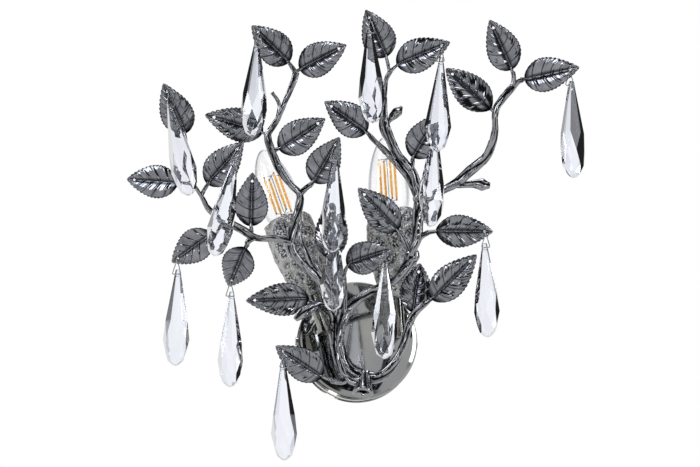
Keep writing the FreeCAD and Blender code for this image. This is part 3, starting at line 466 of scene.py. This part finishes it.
def flaredFoot(pile):
    # the open cut end of the trunk: a rim, a hollow that runs into the stem, and the neck above it
    base, axis = Vector(flare["base"]), Vector(flare["axis"]).normalized()
    turn = Vector((0, 0, 1)).rotation_difference(axis)
    line = smoothPath([(r, 0, h) for r, h in flare["profile"]], flare["stepMm"])[0]
    around, places, faces, uv, marks = flare["around"], [], [], [], []
    for k, spot in enumerate(line):
        for j in range(around):
            angle = 2 * math.pi * j / around
            ridged = 0.5 - 0.5 * math.cos(angle * flare["flutes"] + 0.12 * spot.z)
            reach = spot.x - flare["fluteDepthMm"] * ridged * (1 if k > len(line) * 0.5 else 0.1)
            local = Vector((math.cos(angle) * reach, math.sin(angle) * reach, spot.z))
            places.append((base + turn @ local) * mm)
            uv.append((angle / math.tau, spot.z * mm))
            # marks for painted shade: the hollow is painted near black, and the flute valleys on the neck
            # darker
            onNeck = 0.9 if k > len(line) * 0.5 else 0.0
            marks.append(1.0 if k < len(line) * 0.25 else ridged ** 3 * onNeck)
    faces += ringFaces(len(line), around)
    faces.append(tuple(range(around)))
    pile.add(places, faces, uv, marks)


for seed, (node, limbs) in enumerate(branches.items()):
    pile = Pile()
    for k, (points, radii) in enumerate(limbs):
        barkTube(pile, points, radii, seed * 1.7 + k * 0.9)
    for middle, along, radius in knuckles.get(node, []):
        middle, half = Vector(middle), Vector(along).normalized() * radius
        barkTube(pile, [middle - half, middle - half * 0.4, middle + half * 0.4, middle + half],
                 [radius * 0.6, radius, radius, radius * 0.6], 5.0)
    if node == "trunk_casting":
        flaredFoot(pile)
        for out in (4.0, -2.0):     # boss behind the fork, on the wall plate
            radius = boss["radiusMm"]
            barkTube(pile, [(0, fork[1] + out, fork[2]), (0, boss["middleMm"], fork[2]),
                            (0, boss["wallMm"], fork[2])], [radius, radius, radius * 1.1], 2)
    words = node.split("_")
    piece = makeObject(words[0] + words[1].capitalize() + "Bark", pile.points, pile.faces,
                       finish["bark"], pile.uv, {"groove": pile.marks})
    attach(piece, "root")
    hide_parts(node)
print("branches made")


# ---- leaves

leaf = {"lengthMm": 48.0, "widthMm": 26.5, "thicknessMm": 1.0, "foldDegrees": 17.0, "bulgeMm": 1.6,
        "sagMm": 1.0, "veinPairs": 5, "veinMm": 0.9, "slant": 0.9, "teeth": 14, "toothMm": 1.2, "holeMm": 1.5,
        "holeInsetMm": 7.0, "columns": 96, "rows": 12}
# the blades turn their faces this way, so that they show broadside from the front
viewer = Vector((-0.13, -0.95, -0.27)).normalized()

# point on its twig, foot and tip of the blade, length share
leafPlaces = {
    "leaves_top_left": {
        "1": ((-70, -150, 191), (-75, -150, 199), (-107, -181, 215), 1.0),
        "2": ((-70, -150, 190), (-66, -151, 193), (-33, -185, 202), 1.0),
        "3": ((-87, -134, 129), (-80, -134, 130), (-47, -165, 147), 1.0),
        "4": ((-89, -137, 139), (-94, -138, 143), (-140, -146, 152), 1.0)},
    "leaves_far_left": {
        "1": ((-154, -103, 142), (-154, -100, 152), (-174, -132, 182), 1.0),
        "2": ((-151, -113, 104), (-159, -112, 105), (-200, -88, 114), 1.0),
        "3": ((-141, -115, 94), (-136, -114, 105), (-110, -145, 131), 1.0)},
    "leaves_low_left": {
        "1": ((-99, -109, 64), (-100, -108, 73), (-102, -142, 107), 1.0),
        "2": ((-129, -114, 67), (-131, -114, 64), (-162, -85, 46), 0.94),
        "3": ((-102, -106, 58), (-104, -105, 56), (-114, -69, 32), 0.92)},
    "leaves_centre": {
        "1": ((-54, -120, 105), (-51, -121, 108), (-35, -158, 134), 1.0),
        "2": ((-34, -91, 43), (-34, -95, 51), (-33, -110, 100), 1.07),
        "3": ((-21, -82, 39), (-19, -86, 50), (14, -117, 56), 0.95),
        "4": ((-44, -81, 15), (-50, -85, 20), (-101, -83, 17), 1.06),
        "5": ((-27, -62, -43), (-36, -62, -40), (-76, -79, -19), 1.0)},
    "leaves_top_middle": {
        "1": ((6, -158, 190), (3, -160, 204), (-19, -195, 228), 1.0),
        "2": ((6, -159, 191), (11, -162, 197), (49, -190, 207), 1.0),
        "3": ((-5, -130, 145), (-9, -130, 150), (-46, -156, 164), 1.0),
        "4": ((29, -130, 126), (29, -130, 130), (44, -168, 155), 1.0)},
    "leaves_far_right": {
        "1": ((99, -191, 183), (98, -192, 186), (74, -223, 213), 1.0),
        "2": ((106, -190, 178), (109, -190, 179), (144, -223, 178), 1.0),
        "3": ((88, -179, 155), (83, -179, 156), (50, -170, 192), 1.04)},
    "leaves_low_right": {
        "1": ((44, -110, 72), (51, -110, 74), (99, -108, 76), 1.0),
        "2": ((43, -92, 16), (50, -95, 20), (82, -122, 52), 1.09),
        "3": ((34, -83, 4), (36, -85, 11), (41, -90, 50), 0.85),
        "4": ((23, -107, 70), (20, -108, 74), (-15, -123, 104), 1.0)},
}


def halfWidth(share):
    return math.sin(math.pi * max(share, 0.0) ** 0.72) ** 0.85 * leaf["widthMm"] / 2 if share < 1 else 0.0


def makeBlade(pile, places, length, seed):
    # a toothed blade on a grid whose columns follow the veins; the veins stand proud
    columns, rows = leaf["columns"], leaf["rows"]
    holeAt = length - leaf["holeInsetMm"]
    points, marks, uv = [], [], []
    for c in range(columns + 1):
        u = c / columns
        vein = u * (leaf["veinPairs"] + 1)
        beside = vein - round(vein) if 0.5 < vein < leaf["veinPairs"] + 0.6 else 0.5
        offVein = abs(beside)
        tooth = ((u + leaf["slant"] * u * (1 - u)) * leaf["teeth"]) % 1.0
        for r in range(-rows, rows + 1):
            away = abs(r) / rows
            x = u + leaf["slant"] * away ** 1.1 * u * (1 - u)
            point = tooth / 0.8 if tooth < 0.8 else (1 - tooth) / 0.2
            jag = leaf["toothMm"] * (point - 0.45) * away ** 8 * math.sin(math.pi * min(1, u * 1.02)) ** 0.3
            wide = halfWidth(x) + jag
            beam = min(1.1, wide * 0.3)        # the first row runs along the midrib's foot
            y = math.copysign(beam + (wide - beam) * (abs(r) - 1) / (rows - 1), r) if r else 0.0
            x = x * length + max(0.0, jag) * 0.6
            ridge = max(0.0, 1 - (offVein / 0.15) ** 2) * (1 - away ** 3) * math.sin(math.pi * u) ** 0.4
            rib = 1.0 if r == 0 else 0.0
            panel = math.sin(math.pi * min(1, offVein * 2)) * math.sin(math.pi * away ** 0.8)
            wave = noise.noise(Vector((x / 14, y / 11, seed * 5.7)))
            z = (abs(y) * math.tan(math.radians(leaf["foldDegrees"])) * (1 - 0.35 * away)
                 + (leaf["bulgeMm"] * math.sin(math.pi * away ** 0.75)
                    * math.sin(math.pi * min(1, x / length)) ** 0.6)
                 + 0.14 * panel + leaf["veinMm"] * ridge + 0.8 * rib * (1 - u) ** 0.4 + 0.9 * wave * away)
            z -= leaf["sagMm"] * math.sin(math.pi * min(1.0, x / holeAt))
            spot = Vector((x, y))
            fromHole = spot - Vector((holeAt, 0))
            if fromHole.length < leaf["holeMm"]:
                spot = Vector((holeAt, 0)) + (fromHole.normalized() if fromHole.length > 1e-6
                                              else Vector((1, 0))) * leaf["holeMm"] * 0.999
            points.append(places @ (Vector((spot.x, spot.y, z)) * mm))
            # painted shade: a shadow line on one side of each vein, dark creases beside the midrib, a dark
            # outline round the teeth and a dark foot where the stalk joins
            dark = max(max(0.0, 1 - abs(beside + 0.17) * 13) * (1 - away ** 4) * 0.8 * min(1, u * 5),
                       (0.0, 0.7, 0.2, 0.0)[min(abs(r), 3)], max(0.0, (away - 0.92) * 12) * 0.9,
                       max(0.0, 1.1 - u * 12))
            marks.append(min(1.0, dark))
            uv.append((x * mm, y * mm))
    wide, faces = 2 * rows + 1, []
    back = places.inverted()
    for c in range(columns):
        for r in range(wide - 1):
            face = (c * wide + r, c * wide + r + 1, (c + 1) * wide + r + 1, (c + 1) * wide + r)
            inHole = [((back @ points[k]).xy / mm - Vector((holeAt, 0))).length < leaf["holeMm"] * 1.002
                      for k in face]
            if not all(inHole):
                faces.append(face)
    pile.add(points, faces, uv, marks)


def makeStalk(pile, root, foot, along):
    start, end = Vector(root), Vector(foot) + along * 3.0
    middle = (start + Vector(foot)) / 2 - viewer * 0.4
    barkTube(pile, [start, middle, end], [1.9, 1.6, 1.1], root[0] * 0.1)


for group, members in leafPlaces.items():
    for number, (root, foot, tip, share) in members.items():
        along = (Vector(tip) - Vector(foot)).normalized()
        normal = (viewer - along * viewer.dot(along)).normalized()
        places = Matrix((along, normal.cross(along), normal)).transposed().to_4x4()
        places.translation = Vector(foot) * mm
        pile = Pile()
        makeBlade(pile, places, leaf["lengthMm"] * share, foot[0] * 0.13 + foot[2] * 0.07)
        stalk = Pile()
        makeStalk(stalk, root, foot, along)
        words = group.split("_")
        name = "leaf" + "".join(word.capitalize() for word in words[1:]) + number
        blade = makeObject(name, pile.points, pile.faces, finish["leaf"], pile.uv, {"groove": pile.marks})
        thick = blade.modifiers.new("thickness", "SOLIDIFY")
        thick.thickness = leaf["thicknessMm"] * mm
        thick.offset = 0.0
        stem = makeObject(name + "Stalk", stalk.points, stalk.faces, finish["bark"], stalk.uv,
                          {"groove": stalk.marks})
        for piece in (blade, stem):
            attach(piece, "root")
            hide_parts(group)
print("leaves made")


# ---- cups

lamps = {"left": (Vector((-44, -66, 26)), Vector((-22, 8, 67))),
         "right": (Vector((26, -62, 28)), Vector((-6, -8, 75)))}
cup = {"heightMm": {"left": 69.0, "right": 74.0}, "radiusMm": 19.5, "wallMm": 1.5, "footMm": 6.0,
       "floorMm": 3.0, "cellMm": 14.0, "lineMm": 1.1, "around": 132, "stepMm": 0.9, "boreMm": 3.2}


def lampFrame(side, rise):
    foot, axis = lamps[side]
    turn = Vector((0, 0, 1)).rotation_difference(axis)
    return Matrix.Translation((foot + axis.normalized() * rise) * mm) @ turn.to_matrix().to_4x4()


def makeCup(side):
    # tulip cup: sand texture between raised lines that close into uneven cells
    radius, height = cup["radiusMm"], cup["heightMm"][side]
    outline = [(cup["footMm"], 0), (radius * 0.6, height * 0.09), (radius * 0.82, height * 0.24),
               (radius * 0.97, height * 0.43), (radius * 1.035, height * 0.64),
               (radius * 1.03, height * 0.83), (radius, height)]
    line = smoothPath([(r, 0, h) for r, h in outline], cup["stepMm"])[0]
    place, around = lampFrame(side, 0), cup["around"]
    points, faces, uv, marks = [], [], [], []
    outer = [(spot.x, spot.z, True) for spot in line]
    inner = [(spot.x - cup["wallMm"], max(spot.z, cup["floorMm"]), False) for spot in reversed(line)]
    rings = outer + [(radius - 0.7, height + 0.5, False)] + inner
    for reach, rise, grows in rings:
        for j in range(around):
            angle = 2 * math.pi * j / around
            spot = Vector((math.cos(angle) * reach, math.sin(angle) * reach, rise * 0.8))
            near = noise.voronoi(spot / cup["cellMm"] + Vector((0, 0, 3 if side == "left" else 9)))[0]
            raised = max(0.0, 1 - (near[1] - near[0]) * 5) ** 0.8 if grows else 0.0
            rough = noise.noise(spot * 0.9) * 0.22 + noise.noise(spot * 0.3) * 0.35
            out = reach + raised * cup["lineMm"] + rough * (0.8 if grows else 0.3)
            lift = 0      # only the rim is uneven
            if rise > height - 1:
                lift = noise.noise(Vector((math.cos(angle) * 4, math.sin(angle) * 4, 0.5))) * 0.8
            points.append(place @ (Vector((math.cos(angle) * out, math.sin(angle) * out, rise + lift)) * mm))
            uv.append((angle / math.tau, rise * mm))
            # the raised lines are marked to be glossier and painted lighter: a smoother polish, with a
            # painted highlight on it
            marks.append(min(1.0, raised))
    faces += ringFaces(len(rings), around)
    last = (len(rings) - 1) * around
    for ring, rise, flip in ((0, 0.0, True), (last, cup["floorMm"], False)):     # floor, with its bore
        first = len(points)
        for j in range(around):
            angle = 2 * math.pi * j / around
            points.append(place @ (Vector((math.cos(angle) * cup["boreMm"],
                                           math.sin(angle) * cup["boreMm"], rise)) * mm))
            uv.append((0, 0))
            marks.append(0.2)
        for j in range(around):
            after = (j + 1) % around
            face = (ring + j, ring + after, first + after, first + j)
            faces.append(face[::-1] if flip else face)
    return makeObject("cup" + side.capitalize(), points, faces, finish["cup"], uv, {"groove": marks})


for side in lamps:
    piece = makeCup(side)
    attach(piece, "root")
    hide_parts("cup_" + side)
print("cups made")


# ---- crystal drops

# each level: place along the drop, share of the width, share of the thickness, corners
cutDrop = {"lengthMm": 79.0, "widthMm": 21.0, "thickMm": 12.0, "boreMm": 0.9, "boreInsetMm": 4.0,
           "crownMm": 0.4, "mergeDegrees": 1.5,
           "tableDegrees": (26, 63), "between": (0, 43, 90),
           # two drops swing close past a leaf, so their necks and shoulders are cut slimmer
           "slim": {"03": 0.75, "14": 0.72}, "slimLevels": (0, 1),
           "levels": ((0.0, 0.2, 0.3, "table"), (0.54, 0.93, 0.94, "table"),
                      (0.73, 1.0, 1.0, "between"), (0.87, 0.85, 0.8, "table"),
                      (0.95, 0.58, 0.54, "between"), (0.987, 0.28, 0.26, "table"))}


def makeDrop(number):
    # a long drop: flat tables on its upper half, kite facets below; it hangs where its frame node hangs
    node = frame["nodes"]["crystal_" + number]
    hinge = next(joint for joint in frame["joints"] if joint["name"] == "swing_" + number)
    pivot = Vector(hinge["pos_m"])
    corners = [vertex.co.copy() for vertex in node.data.vertices]
    tip = max(corners, key=lambda spot: (spot - pivot).length)
    down = (tip - pivot).normalized()
    first = down.orthogonal().normalized()
    second = down.cross(first)
    flat = [((spot - tip).dot(first), (spot - tip).dot(second)) for spot in corners]
    turn = 0.5 * math.atan2(2 * sum(a * b for a, b in flat), sum(a * a - b * b for a, b in flat))
    across = first * math.cos(turn) + second * math.sin(turn)
    through = down.cross(across)
    shape = bmesh.new()
    half, deep = cutDrop["widthMm"] / 2, cutDrop["thickMm"] / 2
    for level, (drop, wide, thick, kind) in enumerate(cutDrop["levels"]):
        slim = cutDrop["slim"].get(number, 1.0) if level in cutDrop["slimLevels"] else 1.0
        quarter = cutDrop["tableDegrees"] if kind == "table" else cutDrop["between"]
        for degrees in sorted({turned % 360 for q in quarter for turned in (q, 180 - q, 180 + q, -q)}):
            angle = math.radians(degrees)
            shape.verts.new((math.cos(angle) * half * wide * slim, math.sin(angle) * deep * thick * slim,
                             -drop * cutDrop["lengthMm"]))
    shape.verts.new((0, 0, -cutDrop["lengthMm"]))
    shape.verts.new((0, 0, cutDrop["crownMm"]))
    bmesh.ops.convex_hull(shape, input=shape.verts)
    bmesh.ops.dissolve_limit(shape, angle_limit=math.radians(cutDrop["mergeDegrees"]), verts=shape.verts,
                             edges=shape.edges)
    bmesh.ops.transform(shape, matrix=Matrix.Scale(mm, 4), verts=shape.verts)
    mesh = bpy.data.meshes.new("crystal" + number)
    shape.to_mesh(mesh)
    shape.free()
    drill = bmesh.new()
    bmesh.ops.create_cone(drill, cap_ends=True, segments=20, radius1=cutDrop["boreMm"] * mm,
                          radius2=cutDrop["boreMm"] * mm, depth=cutDrop["widthMm"] * 2 * mm,
                          matrix=Matrix.Translation((0, 0, -cutDrop["boreInsetMm"] * mm))
                          @ Matrix.Rotation(math.pi / 2, 4, "Y"))
    drillMesh = bpy.data.meshes.new("drill")
    drill.to_mesh(drillMesh)
    drill.free()
    piece, tool = bpy.data.objects.new("crystal" + number, mesh), bpy.data.objects.new("drill", drillMesh)
    for item in (piece, tool):
        bpy.context.scene.collection.objects.link(item)
    cut = piece.modifiers.new("bore", "BOOLEAN")
    cut.operation, cut.object, cut.solver = "DIFFERENCE", tool, "EXACT"
    bored = bpy.data.meshes.new_from_object(piece.evaluated_get(bpy.context.evaluated_depsgraph_get()))
    piece.modifiers.clear()
    piece.data = bored
    bpy.data.objects.remove(tool)
    place = Matrix((across, through, -down)).transposed().to_4x4()
    place.translation = tip - down * cutDrop["lengthMm"] * mm
    bored.transform(place)
    bored.materials.clear()
    bored.materials.append(finish["crystal"])
    return piece


for k in range(1, 15):
    number = "%02d" % k
    piece = makeDrop(number)
    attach(piece, "drop_" + number)
    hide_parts("crystal_" + number)
print("crystal drops made")


# ---- filaments

filament = {"rodMm": 1.0, "lengthMm": 34.0, "ringMm": 6.8, "riseMm": {"left": 18.0, "right": 23.0},
            "seatMm": 60.5, "wireMm": 0.32, "rods": 4, "turnDegrees": 12}


def roundBar(pile, start, end, radii, around=14):
    # a straight turned bar with one radius for each even step along it
    start, end = Vector(start), Vector(end)
    along = (end - start).normalized()
    side = along.orthogonal().normalized()
    up = along.cross(side)
    points, faces = [], []
    for k, radius in enumerate(radii):
        centre = start.lerp(end, k / (len(radii) - 1))
        for j in range(around):
            angle = 2 * math.pi * j / around
            points.append((centre + (side * math.cos(angle) + up * math.sin(angle)) * radius) * mm)
    faces += ringFaces(len(radii), around)
    faces += [tuple(range(around))[::-1], tuple(range(len(points) - around, len(points)))]
    pile.add(points, faces, [(0, 0)] * len(points), [0.0] * len(points))


for side in lamps:
    place = lampFrame(side, filament["seatMm"])
    low = filament["riseMm"][side]
    high = low + filament["lengthMm"]
    rods, wires, post = Pile(), Pile(), Pile()
    full = filament["rodMm"]
    for k in range(filament["rods"]):
        angle = math.radians(filament["turnDegrees"] + 360 / filament["rods"] * k)
        out = Vector((math.cos(angle), math.sin(angle), 0))
        ring = out * filament["ringMm"]
        rise = Vector((0, 0, 1))
        roundBar(rods, ring + rise * low, ring + rise * high, [full * 0.6] + [full] * 8 + [full * 0.6])
        for level, lean in ((low, -1.5), (high, 1.0)):
            roundBar(wires, rise * (level + lean), ring + rise * level, [filament["wireMm"]] * 3, 8)
            roundBar(wires, ring + rise * (level - 0.8), ring + rise * (level + 0.8), [full * 0.75] * 2, 10)
    roundBar(wires, (0, 0, low - 3), (0, 0, high + 1.5), [filament["wireMm"] * 1.1] * 4, 8)
    roundBar(post, (0, 0, 1.0), (0, 0, low - 2), [3.4, 2.9, 2.3, 2.0, 2.0, 2.4, 2.5, 1.0], 20)
    for name, pile, look in (("filamentRods", rods, "amber"), ("filamentWires", wires, "steelWire"),
                             ("filamentPost", post, "bulb")):
        piece = makeObject(name + side.capitalize(), pile.points, pile.faces, finish[look],
                           smooth=name != "filamentWires")
        piece.data.transform(place)
        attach(piece, "bulb_" + side)
        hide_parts("filament_mount_" + side)
print("filaments made")


# ---- wall plate rim

# each band: its y and how far it stands out, in mm
rim = {"radiusMm": 50.0, "bands": ((-21.0, 0.8), (-16.0, 0.8), (-3.0, 0.8)), "around": 120}


def makeBand(number, place, proud):
    # a fine raised line round the rim of the wall plate
    section = [(rim["radiusMm"] - 0.3, place - 0.7), (rim["radiusMm"] + proud, place - 0.45),
               (rim["radiusMm"] + proud, place + 0.45), (rim["radiusMm"] - 0.3, place + 0.7)]
    points, faces, around = [], [], rim["around"]
    for j in range(around):
        angle = 2 * math.pi * j / around
        points += [Vector((math.cos(angle) * r, y, math.sin(angle) * r)) * mm for r, y in section]
    for j in range(around):
        for k in range(4):
            a, b = j * 4 + k, j * 4 + (k + 1) % 4
            c, d = (j + 1) % around * 4 + (k + 1) % 4, (j + 1) % around * 4 + k
            faces.append((a, b, c, d))
    return makeObject("plateBand%d" % number, points, faces, finish["turned"], smooth=False)


for number, (place, proud) in enumerate(rim["bands"], start=1):
    piece = makeBand(number, place, proud)
    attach(piece, "root")


# ---- floor, light and camera

studio = {"floorMm": -620.0, "floorReach": 0.9, "diffuse": 0.5, "roomDark": 0.015, "roomPale": 0.75,
          "roomGlass": 0.3, "bands": 0.25, "bandTilt": 35.0, "bandShift": 0.2}


def makeFloor():
    # matt paper sweep, a faint mottle so that it isn't one flat colour
    material, tree, shader = newMaterial("matt paper floor", Roughness=0.85)
    mottle = addNode(tree, "ShaderNodeTexNoise", inputs={"Scale": 1.0},
                     links={"Vector": objectSpace(tree, 60.0)})
    tree.links.new(colourRamp(tree, mottle.outputs["Fac"], [(0.3, "#ededeb"), (0.7, "#f3f3f1")]),
                   shader.inputs["Base Color"])
    low, reach = studio["floorMm"] * mm, studio["floorReach"]
    sides = 64
    edge = [(math.cos(math.tau * k / sides) * reach, math.sin(math.tau * k / sides) * reach, low)
            for k in range(sides)]
    floor = makeObject("floor", edge, [tuple(range(sides))], material, smooth=False)


def makeWorld():
    # white to the camera; metal and glass see a white backdrop and a room of soft dark and pale bands,
    # whose tilt and shift set which faces come out dark
    world = bpy.data.worlds.new("studio room")
    bpy.context.scene.world = world
    world.use_nodes = True
    tree = world.node_tree
    tree.nodes.clear()
    coords = addNode(tree, "ShaderNodeTexCoord")
    axes = addNode(tree, "ShaderNodeSeparateXYZ", links={"Vector": coords.outputs["Generated"]})
    tilt = addNode(tree, "ShaderNodeMapping", {"vector_type": "POINT"},
                   {"Rotation": (0.0, math.radians(studio["bandTilt"]), 0.0),
                    "Location": (studio["bandShift"], 0, 0)},
                   {"Vector": coords.outputs["Generated"]})
    room = addNode(tree, "ShaderNodeTexWave", {"wave_type": "BANDS", "bands_direction": "X"},
                   {"Scale": studio["bands"], "Distortion": 2.2, "Detail": 1.0, "Detail Scale": 1.2},
                   {"Vector": tilt.outputs["Vector"]})
    grey = numberRamp(tree, room.outputs["Fac"], 0.5, 0.78, studio["roomDark"], studio["roomPale"])
    backdrop = numberRamp(tree, axes.outputs["Y"], 0.66, 0.93, 0.0, 1.0)
    path = addNode(tree, "ShaderNodeLightPath")
    through = addNode(tree, "ShaderNodeMath", {"operation": "MULTIPLY_ADD"}, {1: studio["roomGlass"]},
                      {0: path.outputs["Is Transmission Ray"], 2: grey})
    seen = addNode(tree, "ShaderNodeMath", {"operation": "MAXIMUM"},
                   links={0: through.outputs[0], 1: backdrop})
    white = addNode(tree, "ShaderNodeMath", {"operation": "MAXIMUM"},
                    links={0: seen.outputs[0], 1: path.outputs["Is Camera Ray"]})
    mirrored = addNode(tree, "ShaderNodeMath", {"operation": "MAXIMUM"},
                       links={0: path.outputs["Is Glossy Ray"], 1: path.outputs["Is Transmission Ray"]})
    shown = addNode(tree, "ShaderNodeMath", {"operation": "MAXIMUM"},
                    links={0: mirrored.outputs[0], 1: path.outputs["Is Camera Ray"]})
    lit = addNode(tree, "ShaderNodeBackground", inputs={"Color": (1, 1, 1, 1), "Strength": studio["diffuse"]})
    view = addNode(tree, "ShaderNodeBackground", inputs={"Color": (1, 1, 1, 1)},
                   links={"Strength": white.outputs[0]})
    both = addNode(tree, "ShaderNodeMixShader",
                   links={0: shown.outputs[0], 1: lit.outputs[0], 2: view.outputs[0]})
    addNode(tree, "ShaderNodeOutputWorld", links={"Surface": both.outputs[0]})


def makeSoftbox(name, place, aim, width, height, power, tint="#ffffff"):
    light = bpy.data.lights.new(name, "AREA")
    light.shape, light.size, light.size_y, light.energy = "RECTANGLE", width, height, power
    light.color = toLinear(tint)[:3]
    item = bpy.data.objects.new(name, light)
    item.location = place
    item.rotation_euler = (Vector(aim) - Vector(place)).to_track_quat("-Z", "Y").to_euler()
    bpy.context.scene.collection.objects.link(item)


makeFloor()
makeWorld()
middle = (-0.02, -0.1, 0.07)
makeSoftbox("softboxLeft", (-1.3, -0.7, 0.75), middle, 0.35, 1.1, 7.0, "#f4f7ff")
makeSoftbox("softboxRight", (1.3, -0.9, 0.35), middle, 0.3, 1.0, 6.0, "#f4f7ff")
makeSoftbox("softboxTop", (0.1, -0.5, 1.5), middle, 1.0, 0.35, 6.0)
makeSoftbox("stripLow", (-0.5, -1.5, -0.45), middle, 0.9, 0.12, 2.0)

camera = bpy.data.objects.new("photoCamera", bpy.data.cameras.new("photoCamera"))
camera.data.lens, camera.data.sensor_width = 85.0, 36.0
camera.data.clip_start, camera.data.clip_end = 0.05, 20.0
right, upward = Vector((0.99027, -0.13917, 0.0)), Vector((-0.03719, -0.26464, 0.96363))
ahead = Vector((0.13411, 0.95425, 0.26724))
camera.matrix_world = Matrix.Translation(Vector((-199.17, -1387.34, -288.64)) * mm) @ \
    Matrix((right, upward, -ahead)).transposed().to_4x4()
bpy.context.scene.collection.objects.link(camera)
bpy.context.scene.camera = camera
bpy.context.scene.view_settings.view_transform = "Standard"

print("scene ready")
